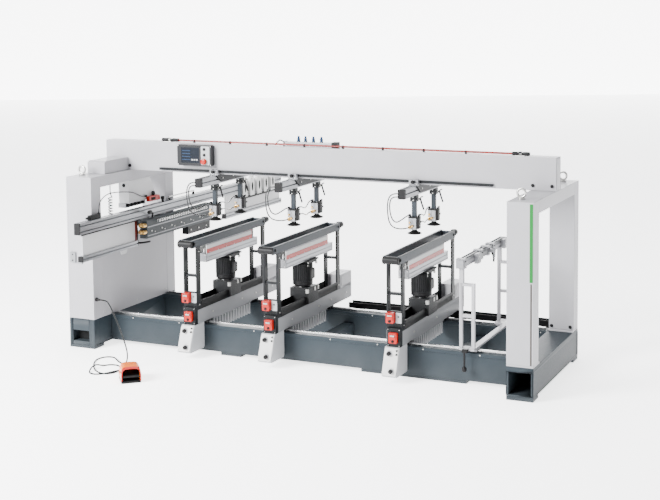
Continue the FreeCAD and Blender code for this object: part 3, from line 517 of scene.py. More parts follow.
def curly_hose():
    """A straight tail from the crossbar, then a helix made turn by turn."""
    points = [(COIL_X, COIL_Y, COIL_HANG), (COIL_X, COIL_Y, COIL_HANG - 30),
              (COIL_X, COIL_Y, COIL_HANG - 60), (COIL_X + COIL_RADIUS * 0.6, COIL_Y, COIL_HIGH + 8)]
    steps = int((COIL_HIGH - COIL_LOW) / COIL_PITCH * POINTS_PER_TURN)
    for i in range(steps):
        turn = 2 * math.pi * i / POINTS_PER_TURN
        points.append((COIL_X + COIL_RADIUS * 1.08 * math.cos(turn),
                       COIL_Y + COIL_RADIUS * 1.08 * math.sin(turn),
                       COIL_HIGH - COIL_PITCH * i / POINTS_PER_TURN))
    return nurbs("curly_hose", [Vector((x, FRONT + y, z)) / 1000 for x, y, z in points], 0.0035)


def arm_hoses(n):
    """Feeds that bend between the arm and its front hold-down, and links to the rear one."""
    x = STATION_X[n] / 1000
    arm = "arm%d" % n
    for label, route in (("feed_low", FEED_LOW), ("feed_high", FEED_HIGH)):
        line = line_of("%s_%s_line" % (arm, label), in_row(route, x))
        declare_hose("%s_%s" % (arm, label), line, n)
    for label, route in (("link_high", LINK_HIGH), ("link_low", LINK_LOW)):
        line = line_of("%s_%s_line" % (arm, label), in_row(route, x))
        half = len(line) // 2
        declare_hose("%s_%s_front" % (arm, label), line[:half + 1], n)
        declare_hose("%s_%s_rear" % (arm, label), line[half:], n)


def declare_hose(name, line, n):
    tube = hose_tube(name, line, ARM_HOSE_RADIUS)
    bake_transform(tube)
    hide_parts("arm%d_hoses" % n)


# ---- the frame, beam and base ----------------------------
def frame_nodes():
    dress("base_frame", "enamel_slate", width=2.5)
    dress("levelling_feet", "enamel_slate")
    dress("guide_rails", "steel", [(ANTHRACITE, (-1400, 450, 1150), (1520, 480, 1200))], 1.0)
    dress("frame_fasteners", "zinc", [(BLACK, (-1420, 455, 1165), (1600, 475, 1195)),
                                      (BLACK, (1440, 890, 210), (1600, 913, 245))], 0.8)
    dress("cable_tray", BLACK)
    dress("cable_glands", BLACK, width=0.6)
    dress("horizontal_head", "head_slate", [(ANTHRACITE, (-1400, 1050, 600), (-1290, 1390, 669))], 2.0)
    dress("support_stand", "enamel_light", [
        ("alloy", (1060, 330, 690), (1200, 950, 780)),
        (BLACK, (1110, 130, 100), (1165, 165, 230))], 1.5)


LEFT, COLUMN_IN, PORTAL_IN, RIGHT = -1600, -1400, 1440, 1600
LEG, DEPTH = 108, 1020                              # a leg's depth, and the end frames' whole depth
BASE_TOP, WINDOW_TOP, FRAME_TOP, BEAM_TOP = 197, 1074, 1150, 1353
SHEET_ROUND = 2.5


def end_frames():
    """The left column, the portal and the beam, as welded boxes with rounded edges."""
    light = "enamel_light"
    legs, rear = (0, DEPTH - LEG), DEPTH - LEG
    column = Piece("column_shell")
    for y0 in legs:
        column.box(LEFT, COLUMN_IN, y0, y0 + LEG, BASE_TOP, FRAME_TOP, light)
    column.box(LEFT + 0.5, COLUMN_IN - 0.5, LEG, rear, BASE_TOP, 676, light)
    column.box(LEFT, COLUMN_IN, LEG, rear, WINDOW_TOP, FRAME_TOP, light)
    cover = [(450, 915), (806, 915), (716, WINDOW_TOP), (450, WINDOW_TOP)]
    column.prism(cover, "x", -1490, -1404, "enamel_white")
    hatch = [(190, FRAME_TOP), (472, FRAME_TOP), (472, 1238), (206, 1238), (190, 1226)]
    column.prism(hatch, "x", -1560, -1420, light)
    for y0, y1 in ((114, 506), (514, 906)):
        column.prism(rounded(y0, y1, 203, 670, 10), "x", LEFT - 1, LEFT + 0.6, light)
    column.done("frame", ["left_column"], SHEET_ROUND)
    portal = Piece("portal_shell")
    for y0 in legs:
        portal.box(PORTAL_IN, RIGHT, y0, y0 + LEG, BASE_TOP + 12, FRAME_TOP, light)
        plate = (max(y0 - 24, 0), min(y0 + LEG + 24, DEPTH))
        portal.box(PORTAL_IN, RIGHT, *plate, BASE_TOP, BASE_TOP + 12, light)
    portal.box(PORTAL_IN, RIGHT, LEG, rear, WINDOW_TOP, FRAME_TOP, light)
    portal.done("frame", ["right_portal"], SHEET_ROUND)
    beam = Piece("beam_shell")
    beam.box(LEFT, RIGHT, 474, 568, FRAME_TOP, BEAM_TOP, light)
    for low in (LEFT - 2, RIGHT):
        beam.prism(rounded(480, 562, 1156, 1347, 6), "x", low, low + 2, light)
    beam.done("frame", ["overhead_beam"], SHEET_ROUND)


def frame_trim():
    """Sheets, strips, seams and screws on the end frames, beam and plinths."""
    trim = Piece("frame_trim")
    trim.box(1576, 1595, -2.0, 2, 692, 1140, "green_trim")
    trim.box(1581, 1590, -2.0, 2, 212, 684, "taupe_trim")
    trim.box(-1573, -1531, -12, 0, 577, 646, "enamel_grey")
    trim.box(-1525, -1480, -8, 0, 572, 580, "aluminium")
    trim.bolts((-1552,), (-12,), (592, 631), 5, "y", -1, BLACK)
    # a thin near-black sheet set back in the plinth under the column: painted shade inside the opening
    trim.box(-1572, -1442, 58, 59.5, 46, 118, "painted_shade")
    for x, way in ((COLUMN_IN, 1), (LEFT, -1)):
        trim.bolts((x,), (130, 510, 890), (230, 640), 5, "x", way)
    trim.bolts((-1300, -600, 300, 900, 1380), (568,), (1180, 1320), 6, "y", 1)
    trim.bolts((1456, 1584), (24, 84, 936, 996), (209,), 7, "z", 1)
    trim.bolts((-1220, -860, -300, 240, 560, 860, 1220, 1400), (191, 865), (187,), 4, "y", -1)
    trim.done("frame", width=0.4)


def air_supply():
    """Air tube with its fittings, manifold with four couplings, and the valve row in the column."""
    air = Piece("air_lines")
    tube_y, tube_z = 488, 1367
    air.rod(6, 2340, (-1016, tube_y, tube_z), "x", "red_tube", 16)
    for x, length in ((-1150, 134), (1324, 110)):
        air.turned([(8, 0), (12, 3), (12, length * 0.3), (9, length * 0.34), (9, length * 0.6),
                    (12, length * 0.64), (12, length - 4), (8, length)], (x, tube_y, tube_z), "x", BLACK)
        air.rod(13, 14, (x + length * 0.42, tube_y, tube_z), "x", "zinc", 6)
        air.box(x + 20, x + 80, 473, 503, 1353, 1358, "zinc")
        air.box(x + 42, x + 58, 476, 500, 1358, 1380, BLACK)
    for x in range(-900, 1300, 275):
        air.rod(8, 10, (x, tube_y, tube_z), "x", BLACK, 16)
        air.box(x, x + 10, 480, 496, 1353, 1362, BLACK)
    air.prism(slotted(488, 534, 1353, 1385, low_a=(1369,), mouth=6, hollow=10, depth=7), "x", -214, 124,
              "aluminium")
    air.box(124, 160, 484, 538, 1354, 1391, BLACK)
    air.box(-222, -214, 486, 536, 1353, 1387, BLACK)
    for x in (-122, -72, -15, 42):
        air.turned([(12, 0), (12, 6), (10, 8), (10, 24), (7, 26), (7, 36), (5, 38)], (x, 510, 1385), "z",
                   "blue_plastic", 20)
        air.rod(12.5, 5, (x, 510, 1385), "z", "zinc", 6)
    air.bolts(range(-200, 95, 42), (488,), (1360,), 3, "y", -1)
    air.bent(bow((-290, 500, 1358), (-222, 510, 1372), 26), 4, "hose")
    air.box(-1490, -1430, 444, 690, 884, 915, "alloy")
    for i in range(5):
        y = 468 + 44 * i
        air.turned([(10, 0), (10, 8), (7, 10), (7, 18), (9, 20), (9, 24)], (-1430, y, 900), "x", BLACK, 20)
    air.rod(6, 10, (-1404, 648, 944), "x", BLACK, 16)
    air.turned([(6, 0), (8, 3), (8, 14), (6, 18)], (-1394, 636, 944), "y", BLACK, 16)
    air.prism(rounded(662, 800, 900, 936, 7), "x", -1402, -1376, "red_plastic")
    # near-black sheet on the red block's face: painted shade inside its opening
    air.box(-1376, -1375, 684, 740, 908, 928, "painted_shade")
    air.turned([(9, 0), (9, 6), (13, 9), (13, 26), (9, 31)], (-1389, 734, 936), "z", BLACK, 20)
    air.turned([(7, 0), (7, 8), (14, 10), (15, 22), (10, 30)], (-1447, 440, 1040), "y", BLACK, 24)
    air.done("frame", ["air_supply"], 0.6)


def bow(start, end, rise, steps=12):
    """Points of a shallow arch between two points."""
    a, b = Vector(start), Vector(end)
    return [a.lerp(b, i / steps) + Vector((0, 0, rise * math.sin(math.pi * i / steps)))
            for i in range(steps + 1)]


def control_panel():
    dress("control_panel", "bezel", [("screen", (-972, 430, 1218), (-822, 440, 1332))], 3.0)
    for name in ("start_button", "stop_button"):
        dress(name, BLACK, width=1.5)
    face = Piece("panel_trim")
    face.prism(rounded(-812, -746, 1212, 1338, 8), "y", 428.4, 430.4, PANEL)
    face.prism(rounded(-976, -818, 1214, 1336, 6), "y", 429, 431.2, "bezel")
    face.prism(rounded(-967, -827, 1223, 1327, 3), "y", 428.5, 430, "screen")
    for row in range(4):
        face.box(-958, -895, 428.2, 428.6, 1242 + 20 * row, 1248 + 20 * row, "blue_plastic")
    for column in range(3):
        face.box(-886 + 18 * column, -874 + 18 * column, 428.2, 428.6, 1240, 1250, PANEL)
    face.rod(19, -2.4, (-786, 430.6, 1236), "y", "pedal_yellow", 32)
    for x, z in ((-990, 1212), (-990, 1338), (-740, 1212), (-740, 1338)):
        face.turned([(3.4, 0), (3.4, -1.4), (2.4, -2)], (x, 430, z), "y", "zinc", 14)
    face.done("frame", width=0.5)
    mushroom = Piece("estop_mushroom")
    dome = [(14.5, 0), (14.5, -30), (19, -31), (20, -35), (20, -39), (18, -43), (12, -45.4), (4, -46)]
    mushroom.turned(dome, (-786, 452, 1236), "y", "red_plastic", 36)
    mushroom.done("estop_button", ["estop_button"], 0.5)


def rounded(a0, a1, b0, b1, radius, steps=5):
    """A rectangle with round corners, as an outline."""
    outline = []
    corners = ((a1 - radius, b0 + radius, -90), (a1 - radius, b1 - radius, 0),
               (a0 + radius, b1 - radius, 90), (a0 + radius, b0 + radius, 180))
    for a, b, turn in corners:
        for i in range(steps + 1):
            angle = math.radians(turn + 90 * i / steps)
            outline.append((a + radius * math.cos(angle), b + radius * math.sin(angle)))
    return outline


# ---- fence and horizontal head ---------------------------
def fence():
    """Slotted extrusions with end caps, cover sheets, the comb and its cylinders."""
    rails = Piece("fence_extrusions")
    upper = slotted(-1391, -1346, 804, 880, low_a=(823, 861), high_a=(823, 861), low_b=(-1368,),
                    high_b=(-1368,))
    rails.prism(upper, "y", -202, 2632, "aluminium_y")
    for y in (-210, 2632):
        rails.prism(rounded(-1391, -1346, 804, 880, 3), "y", y, y + 8, BLACK)
    rails.box(-1346, -1343.5, -200, 470, 797, 804.5, BLACK)
    lower = slotted(-1383, -1346, 622, 660, low_a=(641,), high_a=(641,), low_b=(-1364,), high_b=(-1364,),
                    mouth=8, hollow=14, depth=9)
    for y0, y1 in ((-185, 470), (1690, 2640)):
        rails.prism(lower, "y", y0 + 7, y1 - 7, "aluminium_y")
        for y in (y0, y1 - 7):
            rails.prism(rounded(-1383, -1346, 622, 660, 3), "y", y, y + 7, BLACK)
    for y in (20, 960):
        rails.box(-1400, -1391, y, y + 50, 810, 870, "alloy")
    rails.box(-1400, -1383, 20, 70, 626, 656, "alloy")
    rails.done("frame", ["fence_rails"], 0.5)
    plates = Piece("fence_sheets")
    for y0, y1 in ((-172, 470), (1690, 2620)):
        plates.box(-1358, -1354, y0, y1, 660, 804, "enamel_white")
        plates.bolts((-1354,), (y0 + 20, (y0 + y1) / 2, y1 - 20), (672, 792), 4, "x", 1)
    plates.box(-1354, -1350, 436, 456, 662, 802, "dark_red")
    plates.box(-1354, -1350, 456, 470, 662, 802, BLACK)
    for i in range(5):
        y = 1968 + 118 * i
        plates.prism(finger(y), "x", -1344, -1320, "white_plastic_and_painted_highlight")
        # near-black oval on each finger: painted shade standing in for the hollow of its slot
        plates.prism(oval(y, 830, 13, 36), "x", -1320, -1319, "painted_shade")
        plates.turned([(15, 0), (15, 5), (9, 6), (9, 10)], (-1320, y, 902), "x", "zinc", 24)
        if i < 4:
            plates.box(-1339, -1329, y + 35, y + 83, 764, 776, "alloy")
    plates.box(-1345.5, -1320, 1920, 2488, 745, 760, BLACK)
    plates.done("frame", ["fence_plates"], 0.8)
    extras = Piece("fence_fittings")
    extras.turned([(10, 0), (10, 20), (14, 24), (14, 40)], (-1368, 820, 880), "z", BLACK, 20)
    extras.bent([(-1330, 620, 800), (-1310, 600, 830), (-1296, 560, 850), (-1290, 520, 852)], 6, BLACK)
    extras.turned([(11, 0), (13, 8), (13, 30), (10, 36)], (-1290, 512, 852), "y", BLACK, 20)
    extras.box(-1346, -1326, 612, 640, 796, 806, "alloy")
    extras.bent([(-1366, 900, 884), (-1366, 900, 905), (-1366, 1250, 905), (-1366, 1250, 884)], 5, "steel")
    for y in (905, 1240):
        extras.rod(9, 16, (-1366, y, 880), "z", BLACK, 20)
    extras.prism([(250, 622), (330, 622), (318, 596), (262, 596)], "x", -1352, -1347, "enamel_white")
    extras.bent([(-1366, 480, 640), (-1350, 500, 636), (-1340, 560, 632), (-1340, 600, 630)], 7, BLACK)
    extras.done("frame", width=0.6)


def finger(y):
    """Outline of a round-topped finger, as (y, z)."""
    turns = [math.radians(a) for a in range(0, 181, 12)]
    return [(y - 35, 760), (y + 35, 760)] + [(y + 35 * math.cos(t), 880 + 35 * math.sin(t)) for t in turns]


def oval(y, z, half_width, half_height, steps=24):
    turns = [2 * math.pi * i / steps for i in range(steps)]
    return [(y + half_width * math.cos(t), z + half_height * math.sin(t)) for t in turns]


def horizontal_unit():
    """Chucks and motor of the horizontal row, with the light edge line on its gearbox."""
    row = Piece("horizontal_row")
    for i in range(21):
        chuck(row, (-1296, 630 + 32 * i, 779), "x")
    row.done("horizontal_unit", ["horizontal_spindles"], 0.4)
    trim = Piece("horizontal_trim")
    for x in (-1332, -1306):
        for z in (716, 764):
            trim.turned([(11, 0), (11, -6), (15, -8), (15, -34), (10, -38)], (x, 500, z), "y", "brass", 24)
    trim.box(-1296, -1294.5, 506, 1394, 744, 752, "alloy")
    trim.box(-1296, -1294.5, 506, 1394, 684, 690, "alloy")
    trim.bolts((-1296,), range(560, 1341, 130), (716,), 6, "x", 1)
    trim.bolts((-1296,), range(600, 1381, 130), (704,), 4, "x", 1)
    trim.bolts((-1306,), (1100, 1210, 1320), (636,), 6, "x", 1)
    trim.done("horizontal_unit", width=0.4)
    motor = Piece("horizontal_motor_ribs")
    ribbed(motor, (-1570, 830, 742), 60, 170, "x")
    motor.rod(52, 16, (-1386, 830, 742), "x", "alloy", 40)
    motor.rod(46, 14, (-1400, 830, 742), "x", "motor", 40)
    motor.done("horizontal_unit", ["horizontal_motor"], 0.6)


def chuck(piece, at, axis):
    """A chuck with its collar, clamping screw groove and a short boring bit."""
    body = [(9.5, 0), (9.5, 9), (8.6, 9.6), (8.6, 11.4), (9.5, 12), (9.5, 23), (7.5, 26)]
    piece.turned(body, at, axis, "steel", 20)
    bit = list(at)
    place = {"x": 0, "y": 1, "z": 2}[axis]
    bit[place] += 26
    piece.turned([(4, 0), (4, 6), (3.6, 6.4), (3.6, 7)], bit, axis, "zinc", 14)


def ribbed(piece, at, radius, length, axis, ribs=32):
    """A motor body with cooling ribs and a fan cowl at its far end."""
    a, b, c = AXES[axis]
    outline = []
    for i in range(ribs):
        for share, reach in ((0.0, 0.90), (0.3, 0.90), (0.36, 0.99), (0.86, 0.99), (0.92, 0.90)):
            turn = 2 * math.pi * (i + share) / ribs
            outline.append((at[a] + radius * reach * math.cos(turn), at[b] + radius * reach * math.sin(turn)))
    cowl = length * 0.22
    piece.prism(outline, axis, at[c] + cowl, at[c] + length, "motor")
    piece.turned([(radius * 0.8, 0), (radius * 0.98, cowl * 0.25), (radius * 0.98, cowl)], at, axis,
                 BLACK, 40)


# ---- vertical stations -----------------------------------
def station(n):
    x = STATION_X[n]
    name = "station%d" % n
    unit = name + "_drill_unit"
    dress(name + "_carriage", PANEL, [("enamel_grey", (x - 53, 100, 216), (x + 53, 1241, 309)),
                                             ("enamel_light", (x - 53, 1050, 307), (x + 53, 1241, 405)),
                                             (ANTHRACITE, (x - 53, 180, 198), (x + 53, 960, 216.4))], 2.0)
    dress(name + "_frame", ANTHRACITE, [
        ("bar_slate", (x - 53, 49, 719), (x + 53, 1061, 771)),
        ("motor", (x + 5, 1059, 700), (x + 53, 1125, 775)),
        (BLACK, (x - 53, 150, 307), (x + 53, 1004, 365)),
        ("motor", (x - 69, 505, 310), (x + 69, 665, 419))], 1.2)
    station_console(x, name)
    station_trim(x, name)
    drill_unit(x, name, unit)


def console_y(z):
    """y of the console's sloped front face."""
    return 61 - (216 - z) * 59 / 164


def station_console(x, name):
    """White front plate with knobs and keys, and the red counters on their brackets."""
    work = Piece(name + "_panel", x)
    outline = rounded(-42, 48, 56, 212, 11)
    points = [(px, console_y(z) + back, z) for back in (-4, 0.2) for px, z in outline]
    work.add(points, prism_faces(len(outline)), "white_plastic_and_painted_highlight")
    for px, z in ((-9, 182), (16, 84)):
        work.turned([(17, 0), (17, -2.5), (15.5, -3.4)], (px, console_y(z) - 3.2, z), "y", PANEL, 32)
        work.turned([(12, 0), (13, -3), (13, -17), (11, -20)], (px, console_y(z) - 6, z), "y", BLACK, 12)
    for z in (200, 178):
        work.rod(7.5, -2, (38, console_y(z) - 3.6, z), "y", "zinc", 24)
        work.turned([(5.6, 0), (5.6, -6), (4.6, -8)], (38, console_y(z) - 5, z), "y", BLACK, 20)
    for px in (-36, 42):
        for z in (64, 204):
            work.rod(2.6, -1.6, (px, console_y(z) - 4, z), "y", "zinc", 12)
    work.box(-35, 52, 72, 108, 216, 330, ANTHRACITE)
    work.box(-40, 52, 96, 108, 330, 430, ANTHRACITE)
    counter(work, -17, 37, 44, 72, 242, 306)
    counter(work, -38, 12, 54, 96, 361, 425)
    work.prism(rounded(15, 52, 358, 422, 4), "y", 90, 96, PANEL)
    work.rod(5, -2.4, (33, 90, 398), "y", BLACK, 20)
    work.rod(3, -1.6, (33, 90, 372), "y", "zinc", 12)
    work.bolts((-28, 44), (72,), (224, 322), 3, "y", -1)
    work.done(name, [name + "_controls"], 0.9)


def counter(work, x0, x1, y0, y1, z0, z1):
    """A red position counter with its window, its digit wheels and a clamp knob below."""
    mid = (x0 + x1) / 2
    work.prism(rounded(x0, x1, z0, z1, 5), "y", y0 + 5, y1, "red_plastic")
    work.prism(rounded(x0 + 5, x1 - 5, z0 + 22, z1 - 5, 4), "y", y0 + 1.5, y0 + 5.5, "red_plastic")
    # near-black sheet behind the digit wheels: painted shade inside the counter's window
    work.box(x0 + 10, x1 - 10, y0 + 0.8, y0 + 2, z1 - 24, z1 - 11, "painted_shade")
    for i in range(4):
        work.box(x0 + 12 + 7.4 * i, x0 + 17 + 7.4 * i, y0 + 0.3, y0 + 1, z1 - 22, z1 - 13, "white_plastic_and_painted_highlight")
    work.turned([(9, 0), (9, -6), (7, -8)], (mid, y0 + 8, z0 + 13), "y", BLACK, 20)


def station_trim(x, name):
    """Bolts, rung clamps and end blocks of the ladder frames and the carriage."""
    work = Piece(name + "_trim", x)
    for side in (-1, 1):
        work.bolts((side * 52,), (130, 1024), (340, 690), 5, "x", side)
        work.bolts((side * 52,), (300, 700, 900, 1150), (262,), 6, "x", side)
    for y in (80, 1030):
        for side in (-1, 1):
            work.turned([(9, 0), (9, side * 4), (6, side * 6)], (side * 52, y, 745), "x", BLACK, 20)
    work.turned([(20, 0), (23, 3), (23, 101), (20, 104)], (-52, 58, 745), "x", BLACK, 32)
    work.turned([(20, 0), (24, 4), (24, 20), (20, 24)], (30, 1066, 749), "y", "motor", 32)
    work.turned([(17, 0), (17, 4), (12, 6)], (30, 1120, 749), "y", "enamel_grey", 28)
    work.box(52, 53, 130, 1230, 296, 300, "enamel_grey")
    work.box(52, 53.5, 1070, 1225, 322, 392, "enamel_light")
    work.bolts((53.5,), (1082, 1212), (332, 382), 4, "x", 1)
    work.box(18, 24, 312, 836, 128, 214, "enamel_grey")
    for i in range(14):
        work.prism(rounded(24, 48, 318 + 38 * i, 330 + 38 * i, 2), "z", 130, 214, PANEL)
    work.box(24, 50, 312, 836, 208, 215, "enamel_grey")
    for y in (508, 612, 662):
        work.turned([(12, 0), (12, 22), (9, 26)], (60, y, 388), "z", "zinc", 20)
    work.done(name, width=0.5)


def drill_unit(x, name, unit):
    """Alloy gearbox with long grooves, red guard strips under a white band that is a painted highlight,
    chucks, flange and ribbed motor.
    """
    head = Piece(name + "_gearbox", x)
    outline = slotted(-36, 36, 594, 650, low_a=(604, 628), high_a=(604, 628),
                      mouth=6, lip=6, hollow=6, depth=3)
    head.prism(outline, "y", 260, 962, "aluminium_y")
    for y, way in ((260, -1), (962, 1)):
        head.prism(rounded(-34, 34, 597, 649, 4), "y", min(y, y + way * 4), max(y, y + way * 4), "alloy")
        head.bolts((-26, 26), (y + way * 4,), (604, 642), 4, "y", way)
    for side in (-1, 1):
        inner, outer = sorted((side * 30, side * 36))
        # this white box shows as a band above the red strip: a painted highlight for the light caught on the
        # strip's top chamfer
        head.box(inner, outer, 260, 880, 651, 705, "white_plastic_and_painted_highlight")
        head.box(*sorted((side * 33, side * 37.5)), 262, 878, 652, 680, "red_plastic")
        head.prism(rounded(inner - 0.6, outer + 0.6, 706, 712, 1.5), "y", 260, 880, "alloy")
        head.bolts((side * 37.5,), range(300, 851, 110), (656,), 3, "x", side)
    head.box(-36, 36, 880, 888, 650, 712, "red_plastic")
    head.done(unit, [name + "_head"], 0.6)
    spindles = Piece(name + "_chucks", x)
    for i in range(21):
        chuck(spindles, (0, 291 + 32 * i, 650), "z")
    spindles.done(unit, [name + "_spindles"], 0.4)
    motor = Piece(name + "_motor_body", x)
    motor.box(-56, 56, 547, 697, 584, 594, "motor")
    motor.prism(rounded(-50, 52, 553, 691, 20), "z", 572, 584, "motor")
    for px in (-42, 44):
        for y in (560, 684):
            motor.turned([(8, 0), (8, 14), (5, 14), (5, 30)], (px, y, 554), "z", "zinc", 18)
    ribbed(motor, (-8, 585, 424), 68, 148, "z")
    motor.box(34, 64, 560, 612, 470, 540, "motor")
    motor.prism(rounded(558, 614, 474, 536, 6), "x", 64, 68, BLACK)
    for y in (540, 630):
        motor.rod(11, 95, (0, y, 329), "z", "steel", 28)
    motor.done(unit, [name + "_motor"], 0.6)


# ---- hold-down arms --------------------------------------
def arm(n):
    x = STATION_X[n]
    name = "arm%d" % n
    work = Piece(name + "_extrusion", x)
    bar = slotted(-22.5, 22.5, 1090, 1148, low_a=(1119,), high_a=(1119,), low_b=(0,), high_b=(0,))
    work.prism(bar, "y", 246, 1030, "aluminium_y")
    work.prism(rounded(-23.5, 23.5, 1089, 1149, 5), "y", 224, 246, BLACK)
    work.prism(rounded(-22, 22, 1091, 1147, 4), "y", 1030, 1034, BLACK)
    cheek = [(414, 1148), (484, 1098), (804, 1098), (934, 1148)]
    for side in (-1, 1):
        inner, outer = sorted((side * 22.5, side * 30.5))
        work.prism(cheek, "x", inner, outer, ANTHRACITE)
        work.bolts((side * 30.5,), (500, 640, 780), (1124,), 5, "x", side)
    work.box(-30, 30, 428, 457, 1148, 1184, "alloy")
    work.turned([(6, 0), (6, -6), (12, -8), (12, -16), (9, -19)], (0, 428, 1172), "y", BLACK, 24)
    work.bolts((-20, 20), (428,), (1158,), 4, "y", -1)
    for z in (1102, 1122):
        work.rod(7, 2.5, (-26, 236, z), "x", "zinc", 20)
    work.done(name, [name + "_beam"], 0.6)
    for place, y in (("front", 446), ("rear", 792)):
        hold_down(x, y, "%s_%s" % (name, place))


def hold_down(x, y, name):
    """Post, twin cylinder with its fittings and clamp handle, and the rubber foot on its rod."""
    work = Piece(name + "_cylinder", x)
    work.prism(rounded(-22, 22, y - 23, y + 23, 3), "z", 1048, 1088, ANTHRACITE)
    work.prism(rounded(-13.5, 13.5, y - 13.5, y + 13.5, 2), "z", 952, 1048, "bar_slate")
    work.bolts((0,), (y - 23,), (1056, 1078), 4, "y", -1)
    body = slotted(-32, 20, y - 25, y + 25, low_b=(-6,), high_b=(-6,), low_a=(y,),
                   mouth=5, lip=5, hollow=5, depth=3)
    work.prism(body, "z", 880, 946, "aluminium")
    work.prism(rounded(-34, 34, y - 27, y + 27, 4), "z", 944, 953, BLACK)
    work.prism(rounded(-32, 20, y - 25, y + 25, 4), "z", 872, 880, "alloy")
    work.prism(rounded(20, 36, y - 20, y + 20, 4), "z", 878, 952, BLACK)
    for px, facing in ((-28, -1), (28, 1)):
        work.turned([(6.5, 0), (6.5, 7), (5.5, 10)], (px, y, 952), "z", BLACK, 20)
        work.turned([(6.2, 0), (6.2, facing * 16), (7, facing * 17), (7, facing * 22)], (px, y, 962), "y",
                    BLACK, 20)
    work.turned([(11, 0), (11, -5), (7, -6), (7, -18)], (-22, y - 25, 888), "y", "brass", 20)
    work.turned([(8, 0), (8, -10), (6, -12)], (-4, y - 25, 894), "y", "brass", 20)
    work.rod(6, -8, (-22, y - 25, 916), "y", "brass", 20)
    work.rod(6.5, 18, (28, y + 20, 915), "y", BLACK, 20)
    work.rod(6, 22, (22, y, 1064), "x", "zinc", 20)
    handle = [(39, y, 1070), (44, y - 1, 1054), (50, y - 3, 1036), (58, y - 6, 1018), (66, y - 10, 1000)]
    work.bent(handle, 5.5, BLACK)
    work.bent([(39, y, 1070), (46, y + 2, 1078), (56, y + 4, 1080)], 4, BLACK)
    work.rod(8, 9, (34, y, 1064), "x", BLACK, 20)
    for px in (-26, 14):
        for dy in (-19, 19):
            work.rod(2.6, 1.6, (px, y + dy, 952), "z", "zinc", 12)
    work.done(name + "_clamp", [name + "_clamp"], 0.5)
    foot = Piece(name + "_bell", x)
    foot.rod(10, 66, (0, y, 870), "z", "steel", 24)
    foot.turned([(40, 0), (44, 2), (44, 6), (41, 8), (34, 9), (34, 11), (26, 15), (17, 20), (15, 26)],
                (0, y, 844), "z", "rubber", 36)
    foot.rod(14, 6, (0, y, 865), "z", "zinc", 6)
    foot.done(name + "_foot", [name + "_foot"], 0.4)


# ---- side support stand ----------------------------------
def stand_trim():
    work = Piece("stand_trim", STAND_X)
    rail = slotted(-58, -13, 716, 761, low_a=(738,), high_a=(738,), low_b=(-35,), high_b=(-35,), mouth=8)
    work.prism(rail, "y", 143, 992, "aluminium_y")
    for y in (139, 992):
        work.prism(rounded(-59, -12, 715, 762, 4), "y", y, y + 4, "alloy")
    for y in (146, 460, 600, 700):
        work.prism(rounded(y, y + 44, 708, 768, 4), "x", -62, -9, "alloy")
        work.bolt(-9, y + 22, 750, 5, "x", 1, BLACK)
    work.bent([(2, 640, 722), (14, 632, 706), (22, 618, 690), (26, 600, 676)], 6, BLACK)
    work.turned([(11, 0), (14, 6), (14, 22), (10, 28)], (-9, 145, 92), "z", BLACK, 24)
    work.bolts((12,), (356, 896), (722, 750), 5, "x", 1)
    work.bolts((48,), (176, 915), (240, 600), 4, "x", 1)
    work.done("stand", width=0.5)


# ---- foot pedal ------------------------------------------
PEDAL_TURN = math.radians(-50)
PEDAL_SPOT = (-783.0, -512.0)


def pedal_point(x, y, z):
    """A point in the pedal's own axes, +X out of its mouth, where it lies on the floor."""
    cos, sin = math.cos(PEDAL_TURN), math.sin(PEDAL_TURN)
    return (PEDAL_SPOT[0] + x * cos - y * sin, PEDAL_SPOT[1] + x * sin + y * cos, z)


def pedal():
    """A moulded hood with round shoulders, its red rim, the sole, the pin, the boot and the treadle."""
    hood = Piece("pedal_hood")
    shell(hood, "pedal_yellow", 0.0, -78, 66)
    shell(hood, "red_plastic", 0.6, 66, 78)
    outline = rounded(-78, 78, -60, 60, 10)
    hood.prism([pedal_point(a, b, 0)[:2] for a, b in outline], "z", 0, 13, BLACK)
    inner = rounded(-72, 60, -54, 54, 6)
    hood.prism([pedal_point(a, b, 0)[:2] for a, b in inner], "z", 13, 15, "rubber")
    for y0 in (-54, 50):
        hood.bent([pedal_point(-52, y0, 46), pedal_point(-52, y0 + 4, 46)], 8, "zinc")
    hood.bent([pedal_point(-52, -54, 46), pedal_point(-52, 54, 46)], 5, "zinc")
    boot = [(-98, 6.4), (-94, 7.4), (-92, 6.8), (-88, 8), (-86, 7.2), (-82, 9), (-78, 9.4)]
    for (a, r), (b, _) in zip(boot, boot[1:]):
        hood.bent([pedal_point(a, -20, 26), pedal_point(b, -20, 26)], r, "rubber")
    hood.done("frame", ["pedal_housing"], 0.6)
    tread = Piece("pedal_tread")
    side = [(-52, 40), (-52, 54), (74, 46), (74, 34)]
    board(tread, side, -50, 50, "rubber")
    for i in range(9):
        a = -34 + 12 * i
        top = 54 - (a + 52) * 8 / 126
        board(tread, [(a, top - 1), (a, top + 1.6), (a + 5, top + 1.3), (a + 5, top - 1)], -44, 44, BLACK)
    tread.bent([pedal_point(-52, -50, 46), pedal_point(-52, 50, 46)], 9.6, BLACK)
    tread.done("pedal_treadle", ["pedal_treadle"], 0.6)


def board(piece, outline, y0, y1, finish):
    """A side outline of (x, z) in the pedal's axes, drawn out across it."""
    points = [pedal_point(a, y, z) for y in (y0, y1) for a, z in outline]
    piece.add(points, prism_faces(len(outline)), finish)


def hood_top(x):
    """Height of the hood over the floor along the pedal."""
    rise = min(1.0, (x + 78) / 52)
    front = max(0.0, (x - 42) / 36)
    return 56 + 50 * math.sin(rise * math.pi / 2) - 13 * front ** 2


